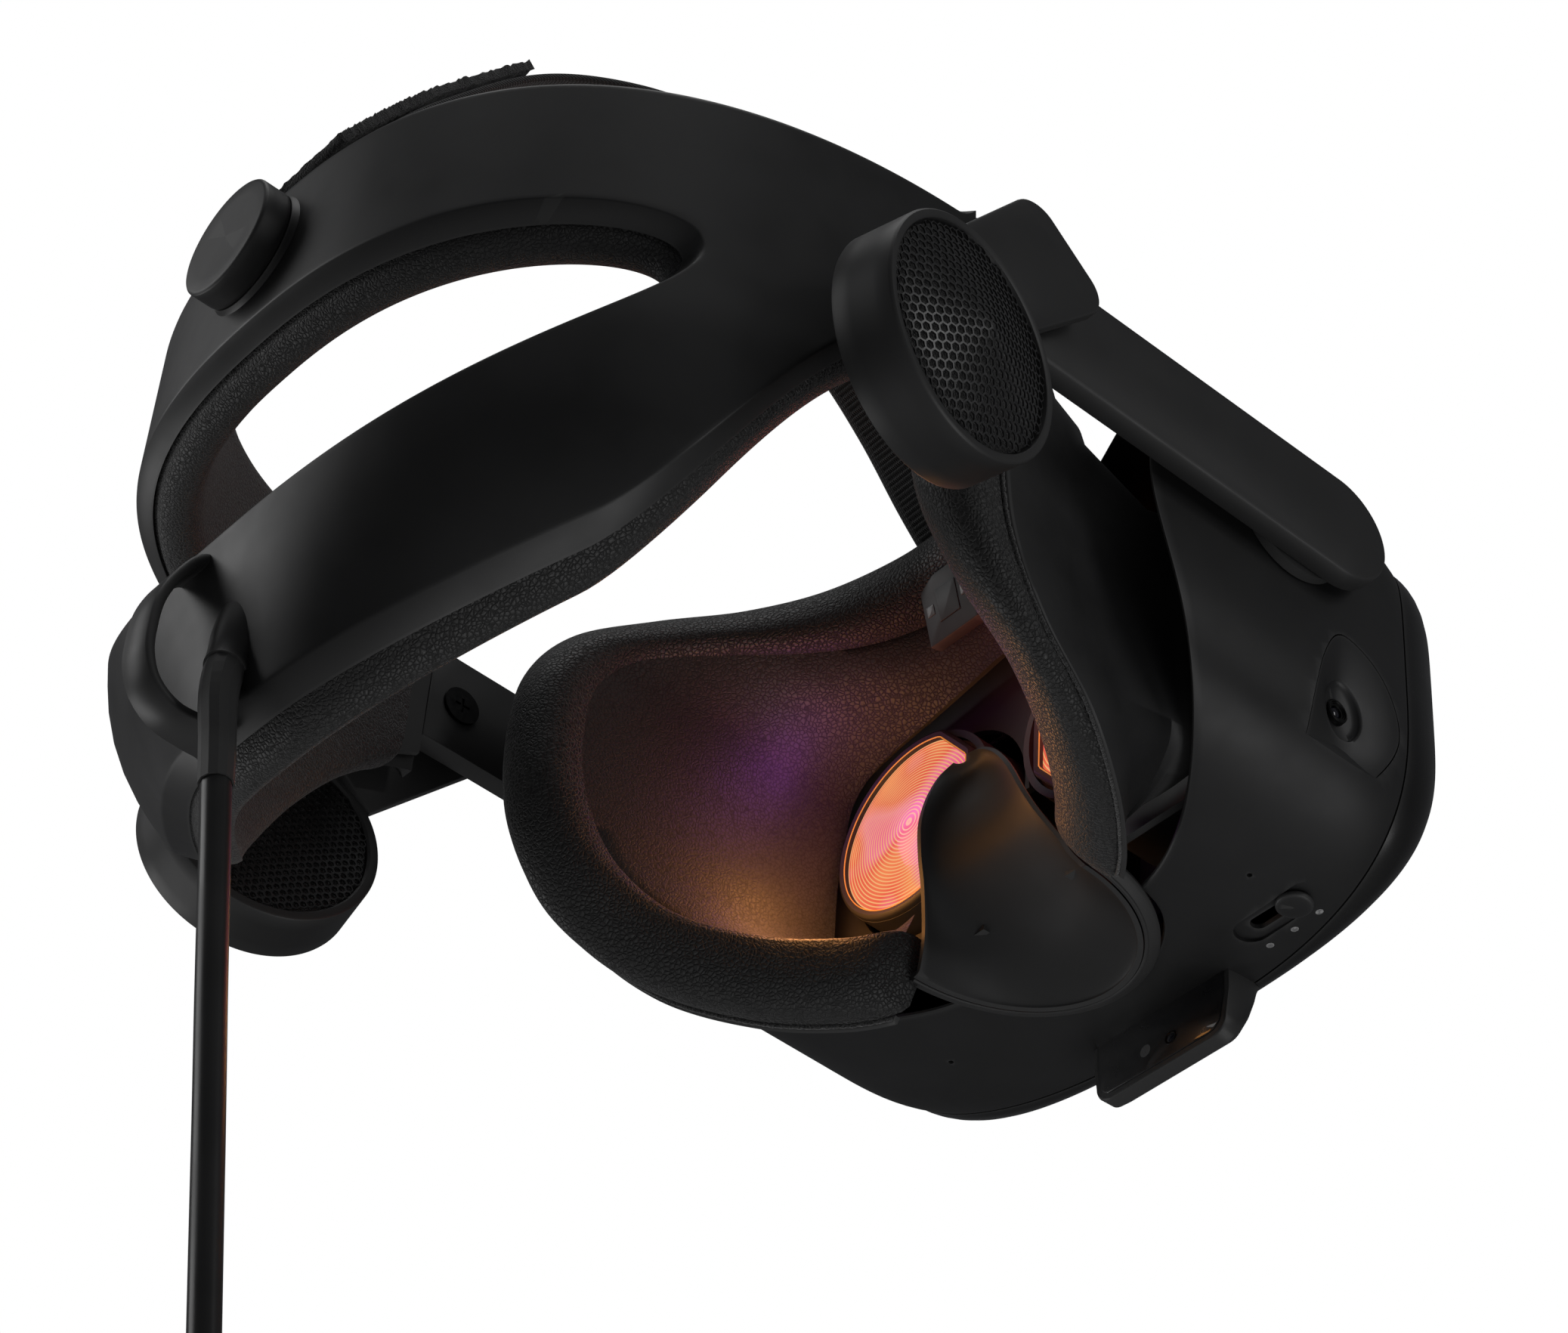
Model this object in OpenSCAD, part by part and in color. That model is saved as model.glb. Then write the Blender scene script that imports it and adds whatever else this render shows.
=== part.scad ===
// Tethered virtual reality headset: visor, face gasket, side arms, off-ear speakers and a rear halo.
// Millimetres. +Z is up, the wearer faces -Y, and the wearer's left is +X.
// The origin lies midway between the two speaker pivots, at the centre of the wearer's head.

/* [Halo] */
// Half width of the halo, outside
halo_half_width = 102; // [101:0.5:104]
// Reach of the halo behind the arm seam
halo_reach = 121; // [118:1:124]
// Squareness of the halo's plan curve
halo_power = 2.5; // [2.3:0.1:2.7]
// Depth of the halo shell at its rim
shell_depth = 4; // [3.8:0.1:4.2]
// Depth of the halo with its pad
pad_depth = 14; // [12:0.5:15]
// Half angle of the rear opening along the plan curve
opening_angle = 61; // [58:1:62]
// Half height of the rear opening, ridge to ridge
opening_half_height = 31; // [28:1:32]

/* [Arms] */
// Distance from the centre to an arm's outer face
arm_outer = 102; // [102:0.1:102.2]
// Thickness of an arm
arm_thick = 6; // [5:0.5:6]
// Height of an arm
arm_height = 30; // [28:1:32]
// Reach of an arm ahead of the speaker pivot
arm_reach = 123; // [120:1:126]

/* [Visor] */
// Half width of the visor
visor_half_width = 93; // [92:0.5:93]
// Half height of the visor
visor_half_height = 50.5; // [49:0.5:52]
// Height of the visor's middle
visor_mid_z = -15.5; // [-16:0.5:-15]
// Wall thickness of the visor housing
visor_wall = 2.2; // [2:0.1:2.5]
// Half of the distance between the lenses
lens_half_spacing = 33; // [32:0.5:34]
// Radius of a lens
lens_radius = 25; // [24:0.5:25.5]

/* [Speakers] */
// Radius of a speaker drum
speaker_radius = 28.5; // [27:0.5:29]
// Thickness of a speaker drum
speaker_thick = 15.5; // [14:0.5:16]
// Radius of the dial knob
knob_radius = 15; // [13:0.5:16]

/* [Cable] */
// Diameter of the cable
cable_d = 6.4; // [6:0.1:7]
// Middle radius of the cable's coil
coil_radius = 38; // [34:1:38]

/* [Hidden] */
$fn = 64;

eps = 0.05;
seam_y = 10;             // where the halo meets the arms
rim_chamfer = 4;         // height of the bevel along the halo's rim
hinge_y = -99;           // the visor hinge lies this far ahead of the speaker pivot
knob_z = -11;            // height of the dial
split_z = -40;           // the halo's two shells meet at this height along the sides
split_angle = 80;        // and the lower one ends at this angle
visor_power = 4.5;       // squareness of the visor seen from the front
plan_power = 3;          // squareness of the visor seen from above
visor_front = -162;      // front of the housing at the seam with the cover
visor_turn = -120;       // where the visor's sides begin to turn inwards
cover_bulge = 7;         // how far the cover stands ahead of the seam
speaker_lean = 50;       // slope of the speaker plate above the horizontal
plate_inner = 106.4;     // inner face of a speaker plate
plate_thick = 3.4;
speaker_x = 118;         // middle of a speaker drum
speaker_reach = 65;      // from the pivot to the middle of the drum
// The two speakers hang at slightly different angles behind the vertical.
function speaker_swing(side) = side > 0 ? 35 : 29;
lens_y = -95;
lens_z = -18;

function clamp01(v) = min(1, max(0, v));
function ease(v) = let (w = clamp01(v)) w * w * (3 - 2 * w);
function spow(v, e) = sign(v) * pow(abs(v), e);
function mix(a, b, u) = a + (b - a) * u;

// A solid through a list of closed sections, each with the same number of points.
module loft(rings) {
    n = len(rings[0]);
    m = len(rings);
    polyhedron(
        points = [for (r = rings) each r],
        faces = [
            [for (j = [0 : n - 1]) n - 1 - j],
            for (i = [0 : m - 2], j = [0 : n - 1]) let (k = (j + 1) % n)
                each [[i * n + j, i * n + k, (i + 1) * n + k], [i * n + j, (i + 1) * n + k, (i + 1) * n + j]],
            [for (j = [0 : n - 1]) (m - 1) * n + j]
        ], convexity = 10);
}

// The same for sections that close on themselves, such as a hoop.
module loop_loft(rings) {
    n = len(rings[0]);
    m = len(rings);
    polyhedron(
        points = [for (r = rings) each r],
        faces = [for (i = [0 : m - 1], j = [0 : n - 1]) let (k = (j + 1) % n, h = (i + 1) % m)
            each [[i * n + j, i * n + k, h * n + k], [i * n + j, h * n + k, h * n + j]]],
        convexity = 10);
}

// Catmull-Rom point at u in span i of a list of points.
function curve_at(p, i, u) = let (
        a = p[max(i - 1, 0)], b = p[i], c = p[min(i + 1, len(p) - 1)], d = p[min(i + 2, len(p) - 1)])
    0.5 * (2 * b + (c - a) * u + (2 * a - 5 * b + 4 * c - d) * u * u
        + (3 * b - a - 3 * c + d) * u * u * u);
function curve(p, steps) = [
    for (i = [0 : len(p) - 2], s = [0 : steps - 1]) curve_at(p, i, s / steps), p[len(p) - 1]];

function unit(v) = v / norm(v);

// The circles of a round tube along a list of points that runs near the plane of x = 0.
function circles(p, radii, sides) = let (last = len(p) - 1) [
    for (i = [0 : last]) let (
            d = unit(p[min(i + 1, last)] - p[max(i - 1, 0)]), v = unit(cross(d, [1, 0, 0])), w = cross(v, d),
            r = radii[i])
        [for (k = [0 : sides - 1]) p[i] + r * (w * cos(360 * k / sides) + v * sin(360 * k / sides))]];
module tube(p, radii, sides) { loft(circles(p, radii, sides)); }

// ---- Halo ----

// How far the lower part curves in under the back of the head.
function bowl(z) = 0.0022 * pow(max(0, -55 - z), 2);
// How much the band narrows below the opening.
function narrowing(z) = 1 - 0.4 * ease((-90 - z) / 60);
// A point on the halo: t degrees round from the back, at height z, depth mm in from the outside.
function halo_point(t, z, depth) = let (o = depth + bowl(z))
    [spow(sin(t), 2 / halo_power) * (halo_half_width - o) * narrowing(z),
     seam_y + pow(max(0, cos(t)), 2 / halo_power) * (halo_reach - o), z];
function rim_top(t) = 8 + 9 * pow(abs(t) / 90, 3);
function rim_low(t) = -141 + 30 * pow(abs(t) / 57, 2) + 40 * ease((abs(t) - 55) / 33);
function opening_mid(t) = -65.5 + 25.5 * pow(min(abs(t) / opening_angle, 1), 2);
function opening_half(t) =
    max(0, opening_half_height * sqrt(max(0, 1 - pow(abs(t) / opening_angle, 1.6))) - rim_chamfer);
function in_opening(t) = opening_half(t) > 0;
function upper_low(t) = abs(t) > split_angle ? rim_low(t)
    : in_opening(t) ? opening_mid(t) + opening_half(t) : split_z;
function lower_top(t) = in_opening(t) ? opening_mid(t) - opening_half(t) : split_z;
// 1 where an edge is a real rim, and 0 where the two shells meet
function lower_rim(t) = clamp01(opening_half(t) / 8);
function upper_rim(t) = abs(t) > split_angle ? 1 : lower_rim(t);

half_steps = [5, 10, 15, 20, 25, 30, 35, 40, 45, 50, 54, 57, 58.5, 59.5, 60.2, 64, 69, 74, 80, 80.4, 85, 90];
full_steps = [for (i = [len(half_steps) - 1 : -1 : 0]) -half_steps[i], 0, each half_steps];
lower_steps = [for (t = full_steps) if (abs(t) <= split_angle) t];

// The faces between the rims are slightly crowned.
crown = 0.2;
function shell_section(t, z0, z1, low_rim, top_rim) = let (
        b = 0.3, c0 = mix(b, rim_chamfer, low_rim), c1 = mix(b, rim_chamfer, top_rim), d = shell_depth,
        r = min(5, (z1 - z0) / 2 - 0.5), skin = 2.6)
    [halo_point(t, z0 + c0, 0), halo_point(t, mix(z0 + c0, z1 - c1, 0.33), -crown),
     halo_point(t, mix(z0 + c0, z1 - c1, 0.67), -crown), halo_point(t, z1 - c1, 0),
     halo_point(t, z1, mix(b, d - b, top_rim)), halo_point(t, z1, d), halo_point(t, z1 - r, d),
     halo_point(t, z1 - r, skin), halo_point(t, mix(z1 - r, z0 + r, 0.5), skin - crown),
     halo_point(t, z0 + r, skin), halo_point(t, z0 + r, d), halo_point(t, z0, d),
     halo_point(t, z0, mix(b, d - b, low_rim))];
function plate_section(t, z0, z1, near, far) =
    [halo_point(t, z0, near), halo_point(t, mix(z0, z1, 0.5), near - crown), halo_point(t, z1, near),
     halo_point(t, z1, far), halo_point(t, mix(z0, z1, 0.5), far - crown), halo_point(t, z0, far)];
function pad_section(t, z0, z1, low_rim, top_rim) = let (
        s0 = mix(-0.15, 3.5, low_rim), s1 = mix(-0.15, 3.5, top_rim), f = pad_depth, lip = 3)
    [halo_point(t, z0, 4.4), halo_point(t, z0 + lip, 4.4), halo_point(t, z0 + lip, 6.6),
     halo_point(t, mix(z0, z1, 0.5), 6.6 - crown), halo_point(t, z1 - lip, 6.6),
     halo_point(t, z1 - lip, 4.4), halo_point(t, z1, 4.4), halo_point(t, z1 + s1, f - 3.5),
     halo_point(t, z1 + s1 * 0.3, f), halo_point(t, mix(z0, z1, 0.5), f + crown), halo_point(t, z0 - s0 * 0.3, f),
     halo_point(t, z0 - s0, f - 3.5)];

module halo_upper_shell() {
    color([0.06, 0.06, 0.065]) difference() {
        loft([for (t = full_steps)
            shell_section(t, upper_low(t), rim_top(t), upper_rim(t), 1)]);
        translate([0, halo_reach + seam_y - 8, knob_z]) rotate([-90, 0, 0]) cylinder(r = 3.05, h = 20);
        // slot for the top strap
        translate([-strap_half - 1, halo_reach + seam_y - 10, 2.5]) cube([2 * strap_half + 2, 8.2, 12]);
    }
}
module halo_lower_shell() {
    color([0.06, 0.06, 0.065]) loft([for (t = lower_steps)
        shell_section(t, rim_low(t), lower_top(t), 1, lower_rim(t))]);
}
liner_margin = 4.5;
module halo_upper_liner() {
    color([0.1, 0.1, 0.1]) difference() {
        loft([for (t = full_steps)
            plate_section(t, upper_low(t) + liner_margin, rim_top(t) - liner_margin, 5, 6.3)]);
        translate([0, halo_reach + seam_y - 12, knob_z]) rotate([-90, 0, 0]) cylinder(r = 3.3, h = 20);
    }
}
module halo_lower_liner() {
    color([0.1, 0.1, 0.1]) loft([for (t = lower_steps) if (abs(t) < 72)
        plate_section(t, rim_low(t) + liner_margin + 1, lower_top(t) - liner_margin - 1, 4.4, 5.2)]);
}
module halo_upper_pad() {
    color([0.09, 0.09, 0.095]) difference() {
        loft([for (t = full_steps) if (abs(t) < 88)
            pad_section(t, upper_low(t), rim_top(t), upper_rim(t), 1)]);
        // room for the end of the strap, folded through its slot
        translate([-strap_half - 1.5, halo_reach + seam_y - 10, 2]) cube([2 * strap_half + 3, 8.2, 12]);
    }
}
module halo_lower_pad() {
    color([0.09, 0.09, 0.095]) loft([for (t = lower_steps)
        pad_section(t, rim_low(t), lower_top(t) - 0.1, 1, lower_rim(t))]);
}

// Flexible rack, from an arm round to the pinion inside the halo.
module rack(side) {
    low = side > 0 ? knob_z + 6.2 : knob_z - 12.2;
    color([0.75, 0.75, 0.72]) loft([for (t = [-8 : 4 : 80])
        plate_section(side * t, low, low + 6, 3.2, 4.5)]);
}
module rack_left() { rack(1); }
module rack_right() { rack(-1); }

back_y = halo_reach + seam_y;
module dial_boss() {
    color([0.05, 0.05, 0.05]) difference() {
        translate([0, back_y - 0.4, knob_z]) rotate([-90, 0, 0]) cylinder(r1 = knob_radius + 1.5, r2 = knob_radius - 1, h = 1.4);
        translate([0, back_y - 4, knob_z]) rotate([-90, 0, 0]) cylinder(r = 3.05, h = 12);
    }
}
module dial_knob() {
    h = 7;
    bevel = 0.9;
    color([0.05, 0.05, 0.05]) translate([0, back_y + 1.3, knob_z]) rotate([-90, 0, 0]) difference() {
        rotate_extrude() polygon([[0, 0], [knob_radius - 0.6, 0], [knob_radius, 0.6],
            [knob_radius, h - bevel], [knob_radius - bevel, h], [0, h]]);
        translate([0, 0, -eps]) cylinder(r = 3, h = 5);
    }
}
module dial_shaft() {
    color([0.7, 0.7, 0.7]) translate([0, back_y - 6, knob_z]) rotate([-90, 0, 0]) cylinder(r = 3, h = 12);
}
module dial_pinion() {
    teeth = 14;
    color([0.8, 0.8, 0.78]) translate([0, back_y - 4.6, knob_z]) rotate([-90, 0, 0]) difference() {
        union() {
            cylinder(r = 4.9, h = 1.5);
            for (k = [0 : teeth - 1]) rotate(360 * k / teeth) translate([-0.5, 0, 0]) cube([1, 5.9, 1.5]);
        }
        translate([0, 0, -eps]) cylinder(r = 3, h = 2);
    }
}

// ---- Cable ----
gland_at = [-4, 117, -123];
module cable_gland() {
    color([0.06, 0.06, 0.065]) translate(gland_at) sphere(r = 7);
}
// the cable leaves the gland, turns down and hangs
route = [[-4, 117.5, -123], [-4, 119.3, -127], [-4.2, 120.6, -131], [-4.6, 121.2, -136], [-5, 121, -142],
    [-5.6, 120, -150], [-6.5, 118.8, -162], [-8, 116.6, -182], [-10.2, 113.4, -212], [-12.5, 110.1, -242],
    [-14.8, 106.9, -272], [-17, 103.6, -302], [-19.3, 100.3, -332], [-20.8, 98.2, -352], [-22.3, 96, -372]];
module strain_relief() {
    q = curve([for (i = [0 : 6]) route[i]], 2);
    last = len(q) - 1;
    outer = circles(q, [for (i = [0 : last]) mix(4.6, cable_d / 2 + 0.5, i / last)], 12);
    inner = circles(q, [for (i = [0 : last]) cable_d / 2 + 0.1], 12);
    color([0.04, 0.04, 0.04]) loop_loft([each outer, for (i = [last : -1 : 0]) inner[i]]);
}
module cable() {
    q = curve(route, 3);
    color([0.04, 0.04, 0.04]) tube(q, [for (i = [0 : len(q) - 1]) cable_d / 2], 12);
}
// the coil hangs in its tie below the reach of the view
coil_bundle = 17;        // radius of the bundle of turns
coil_at = [-22.5 + coil_radius, 95.8, -412];
module cable_coil() {
    color([0.04, 0.04, 0.04]) translate(coil_at) rotate([90, 0, 0]) rotate_extrude()
        translate([coil_radius, 0]) circle(r = coil_bundle, $fn = 24);
}
module cable_tie() {
    color([0.1, 0.1, 0.1]) translate(coil_at + [coil_radius, 0, 0]) difference() {
        cylinder(r = coil_bundle + 2, h = 12, center = true);
        cylinder(r = coil_bundle + 0.2, h = 14, center = true);
    }
}
module cable_plug() {
    color([0.05, 0.05, 0.05]) translate(coil_at - [coil_radius, 0, 39]) {
        translate([-9, -5, -49]) cube([18, 10, 40]);
        translate([0, 0, -9.5]) cylinder(r = 4.2, h = 9.5);
        translate([-7, -3, -58]) cube([14, 6, 10]);
    }
}

// The loop that steadies the cable, standing out behind the lower shell.
loop_route = [[6, 123, -99.5], [6, 127.5, -101], [6, 132, -108], [6, 134.8, -116], [6, 135.4, -124], [6, 134.8, -131],
    [6, 132, -137], [6, 126.5, -140.6], [6, 119.5, -140.8], [6, 114, -139.6]];
module cable_loop() {
    q = curve(loop_route, 3);
    half = 4;
    color([0.06, 0.06, 0.065]) loft([for (i = [0 : len(q) - 1]) let (
            d = unit(q[min(i + 1, len(q) - 1)] - q[max(i - 1, 0)]), n = [0, -d[2], d[1]], w = half)
        [q[i] + [w, 0, 0] + n * 1.1, q[i] + [-w, 0, 0] + n * 1.1, q[i] + [-w, 0, 0] - n * 1.1, q[i] + [w, 0, 0] - n * 1.1]]);
}

// ---- Top strap ----
strap_half = 18.5;
strap_thick = 2.6;
rear_route = [[0, 124.6, 4.2], [0, 123.4, 12], [0, 115, 29], [0, 100, 52], [0, 75, 82], [0, 46, 102], [0, 20, 111],
    [0, -4, 112.4]];
front_route = [[0, -4.6, 112.4], [0, -24, 107], [0, -44, 95], [0, -60, 81], [0, -74, 65], [0, -85, 54], [0, -96, 44],
    [0, -106, 38.5]];
module ribbon(p, half, thick) {
    q = curve(p, 3);
    loft([for (i = [0 : len(q) - 1]) let (
            d = unit(q[min(i + 1, len(q) - 1)] - q[max(i - 1, 0)]), n = [0, -d[2], d[1]] * thick / 2)
        [q[i] + [half, 0, 0] + n, q[i] + [-half, 0, 0] + n, q[i] + [-half, 0, 0] - n, q[i] + [half, 0, 0] - n]]);
}
module strap_rear() { color([0.12, 0.12, 0.12]) ribbon(rear_route, strap_half, strap_thick); }
module strap_front() { color([0.12, 0.12, 0.12]) ribbon(front_route, strap_half, strap_thick); }
module strap_lap() {
    lap = [[0, 125.4, 18], [0, 117.8, 31], [0, 102.6, 54], [0, 79, 83.6]];
    color([0.1, 0.1, 0.1]) ribbon(lap, strap_half - 0.5, 2.4);
}

// ---- Arms ----
arm_inner = arm_outer - arm_thick;
module arm(side) {
    r = arm_height / 2;
    color([0.06, 0.06, 0.065]) difference() {
        union() {
            translate([side > 0 ? arm_inner : -arm_outer, 0, 0]) rotate([90, 0, 90])
                linear_extrude(arm_thick) union() {
                    translate([-arm_reach + r, -r]) square([arm_reach - r + seam_y - 0.3, arm_height]);
                    translate([-arm_reach + r, 0]) circle(r = r);
                }
            // tongue that slides inside the halo
            translate([side > 0 ? 97.3 : -98.2, 0, -4]) cube([0.9, 32, 8]);
        }
        // seats of the speaker pivot and of the visor hinge
        translate([side * (arm_inner - 1), 0, 0]) rotate([0, side * 90, 0]) cylinder(r = 4.05, h = arm_thick + 2);
        translate([side * (arm_inner - 1), hinge_y, 0]) rotate([0, side * 90, 0]) cylinder(r = 4, h = 4);
    }
}
module arm_left() { arm(1); }
module arm_right() { arm(-1); }
module hinge_discs() {
    color([0.08, 0.08, 0.08]) for (side = [-1, 1])
        translate([side * 93.4, hinge_y, 0]) rotate([0, side * 90, 0]) difference() {
            cylinder(r = 16.5, h = 2.6);
            translate([0, 0, -1]) cylinder(r = 4, h = 5);
        }
}
module hinge_pins() {
    color([0.7, 0.7, 0.7]) for (side = [-1, 1])
        translate([side * 84, hinge_y, 0]) rotate([0, side * 90, 0]) cylinder(r = 4, h = 15);
}
module pivot_screws() {
    color([0.15, 0.15, 0.15]) for (side = [-1, 1])
        translate([side * (arm_inner - 0.9), 0, 0]) rotate([0, side * 90, 0]) difference() {
            cylinder(r = 5.2, h = 0.9);
            for (a = [0, 90]) rotate(a) translate([-2.2, -0.4, -1]) cube([4.4, 0.8, 1.4]);
        }
}

// ---- Speakers ----
// Turns the plate's own frame (x along the strip, y across it) to stand on the side of the head.
module on_side(side, x) {
    translate([side * x, 0, 0]) mirror([side > 0 ? 0 : 1, 0, 0]) rotate([90, 0, 90]) children();
}
module plate_outline() {
    rotate(180 - speaker_lean) hull() {
        translate([12, -8]) circle(r = 7.5, $fn = 32);
        translate([12, 8]) circle(r = 7.5, $fn = 32);
        translate([-38, -13]) square([10, 26]);
    }
}
module speaker_plate(side) {
    color([0.06, 0.06, 0.065]) difference() {
        on_side(side, plate_inner) linear_extrude(plate_thick) plate_outline();
        // seat of the stub
        translate([side * (plate_inner - 1), 0, 0]) rotate([0, side * 90, 0]) cylinder(r = 4, h = 3);
    }
}
module pivot_stub(side) {
    color([0.1, 0.1, 0.1]) translate([side * (arm_inner + 0.1), 0, 0]) rotate([0, side * 90, 0]) union() {
        cylinder(r = 4, h = plate_inner + 2 - arm_inner - 0.1);
        // collar under the plate, clear of the arm's outer face
        translate([0, 0, arm_thick + 2.1]) cylinder(r = 8, h = plate_inner - arm_outer - 2.3);
    }
}
module speaker_plate_left() { speaker_plate(1); }
module speaker_plate_right() { speaker_plate(-1); }
module pivot_stub_left() { pivot_stub(1); }
module pivot_stub_right() { pivot_stub(-1); }

// The speaker's own frame: z points outwards, tilted forwards and a little down.
module in_speaker(side) {
    a = speaker_swing(side);
    mirror([side > 0 ? 0 : 1, 0, 0]) translate([speaker_x, speaker_reach * sin(a), -speaker_reach * cos(a)])
        rotate([0, 0, -11]) rotate([0, 90 + 4, 0]) children();
}
module speaker_drum(side) {
    r = speaker_radius;
    h = speaker_thick;
    color([0.06, 0.06, 0.065]) union() {
        in_speaker(side) rotate_extrude() polygon([[r - 2.4, -h / 2], [r - 0.8, -h / 2], [r, -h / 2 + 0.8],
            [r, h / 2 - 0.8], [r - 0.8, h / 2], [r - 2.4, h / 2]]);
    }
}
module ear_grille(side) {
    color([0.08, 0.08, 0.08]) in_speaker(side) translate([0, 0, -speaker_thick / 2 + 0.6])
        cylinder(r = speaker_radius - 2.5, h = 1);
}
module rear_grille(side) {
    r = speaker_radius - 2.5;
    color([0.1, 0.1, 0.1]) in_speaker(side) translate([0, 0, speaker_thick / 2 - 1.6]) rotate_extrude()
        polygon([[0, 10], [5, 9.6], [14, 6.5], [r, 1.2], [r, 0], [0, 0]]);
}
module speaker_driver(side) {
    color([0.3, 0.3, 0.3]) in_speaker(side) translate([0, 0, -4]) union() {
        cylinder(r = 12, h = 8);
        translate([0, 0, -2]) cylinder(r = 21, h = 2.4);
    }
}
module speaker_drum_left() { speaker_drum(1); }
module speaker_drum_right() { speaker_drum(-1); }
module ear_grille_left() { ear_grille(1); }
module ear_grille_right() { ear_grille(-1); }
module rear_grille_left() { rear_grille(1); }
module rear_grille_right() { rear_grille(-1); }
module speaker_driver_left() { speaker_driver(1); }
module speaker_driver_right() { speaker_driver(-1); }

// ---- Visor ----
// Half width factor of the visor at y, seen from above.
function plan_scale(y) = y > visor_turn ? 1
    : pow(max(0, 1 - pow((visor_turn - y) / (visor_turn - visor_front + cover_bulge), plan_power)), 1 / plan_power);
function front_point(a, inset) = [
    spow(cos(a), 2 / visor_power) * (visor_half_width - inset),
    visor_mid_z + spow(sin(a), 2 / visor_power) * (visor_half_height - inset)];
// The rear edge of the housing: an arch for the nose, then back along the cheeks to the sides.
function rear_low(x) = x < 30 ? -113 - 23 * sqrt(1 - pow(x / 30, 2)) : -113 + 43 * pow((x - 29) / 60, 1.6);
function rear_edge(x, z) = z < 0 ? rear_low(abs(x)) + 12 * ease((z + 60) / 50)
    : mix(-54, -98, pow(1 - abs(x) / visor_half_width, 0.8));
function seam_at(x) = mix(-141, -160, 1 - pow(abs(x) / visor_half_width, 3));
function visor_point(a, u, inset) = let (p = front_point(a, inset), y = mix(rear_edge(p[0], p[1]), seam_at(p[0]), u),
        s = plan_scale(y))
    [p[0] * s, y, visor_mid_z + (p[1] - visor_mid_z) * mix(1, s, 0.25)];
visor_steps = [for (k = [0 : 14]) 6 * k + 3, 89.5, 89.95, 90.05, 90.5, for (k = [15 : 59]) 6 * k + 3];
module visor_housing() {
    color([0.06, 0.06, 0.065]) difference() {
        loop_loft([for (a = visor_steps)
            [for (u = [0, 0.3, 0.6, 0.8, 1]) visor_point(a, u, 0), for (u = [1, 0.8, 0.6, 0.3, 0]) visor_point(a, u, visor_wall)]]);
        for (side = [-1, 1]) translate([side * 80, hinge_y, 0]) rotate([0, side * 90, 0]) cylinder(r = 4.05, h = 20);
        for (side = [-1, 1]) translate([side * 80, -118, -45]) rotate([0, side * 90, 0]) cylinder(r = 9, h = 20);
        for (x = [-51, 51]) translate([x, -128, -80]) cylinder(r = 0.8, h = 40);
        // slot of the lens spacing button
        for (x = [-51, -38]) translate([x, -143, -80]) cylinder(r = 4, h = 40);
        translate([-51, -147, -80]) cube([13, 8, 40]);
    }
}
// The cover closes the front. u runs from the seam (0) to the middle of the front (1).
function cover_ring(u, inset) = let (k = u == 1 ? 0.04 : pow(1 - u * u, 0.17), gap = 0.1)
    [for (a = visor_steps) let (q = visor_point(a, 1, inset), y = q[1] - gap)
        [q[0] * k, mix(y, visor_front - cover_bulge + inset, u), visor_mid_z + (q[2] - visor_mid_z) * k]];
module front_cover() {
    steps = [0, 0.35, 0.65, 0.85, 0.96, 1];
    color([0.05, 0.05, 0.055]) loft([
        for (i = [5 : -1 : 0]) cover_ring(steps[i], 0),
        for (i = [0 : 5]) cover_ring(steps[i], 2)]);
}
bulkhead_y = -104;
module lens_bulkhead() {
    color([0.07, 0.07, 0.07]) difference() {
        translate([0, bulkhead_y, 0]) rotate([90, 0, 0]) linear_extrude(2) difference() {
            polygon([for (a = visor_steps) let (p = front_point(a, 6)) [p[0], max(p[1], -58)]]);
            for (side = [-1, 1]) hull() {
                translate([side * (lens_half_spacing - 4), lens_z]) circle(r = 28.4);
                translate([side * lens_half_spacing, lens_z]) circle(r = 28.4);
            }
            translate([-14, -80]) square([28, 58]);
        }
    }
}
module displays() {
    color([0.1, 0.1, 0.25]) for (side = [-1, 1])
        translate([side * 32 - 27, -141, lens_z - 30]) cube([54, 3, 60]);
}
module mainboard() {
    color([0.1, 0.3, 0.15]) translate([-60, -147, -50]) cube([120, 1.6, 74]);
}
module side_camera_dishes() {
    color([0.04, 0.04, 0.045]) for (side = [-1, 1]) translate([side * 80, -118, -45]) rotate([0, side * 90, 0])
        difference() {
            cylinder(r = 8.9, h = 11.4);
            translate([0, 0, 8.4]) cylinder(r1 = 4, r2 = 8, h = 4);
        }
}
module side_camera_lenses() {
    color([0.02, 0.02, 0.05]) for (side = [-1, 1]) translate([side * 88.5, -118, -45])
        rotate([0, side * 90, 0]) cylinder(r = 2.9, h = 1.6);
}
module face_camera_pod() {
    color([0.06, 0.06, 0.065]) translate([-23, 0, 0]) rotate([90, 0, 90]) linear_extrude(46)
        polygon([[-149.6, -60], [-149.6, -77], [-151.5, -82.5], [-155, -82.5], [-160, -72], [-163, -62], [-163, -58]]);
}
module pod_window() {
    color([0.01, 0.01, 0.015]) translate([-21.5, -149.6, -77.5]) cube([43, 0.8, 17]);
}
module microphones() {
    color([0.5, 0.5, 0.5]) for (x = [-51, 51]) translate([x, -128, -62]) cylinder(r = 2, h = 2);
}
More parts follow.
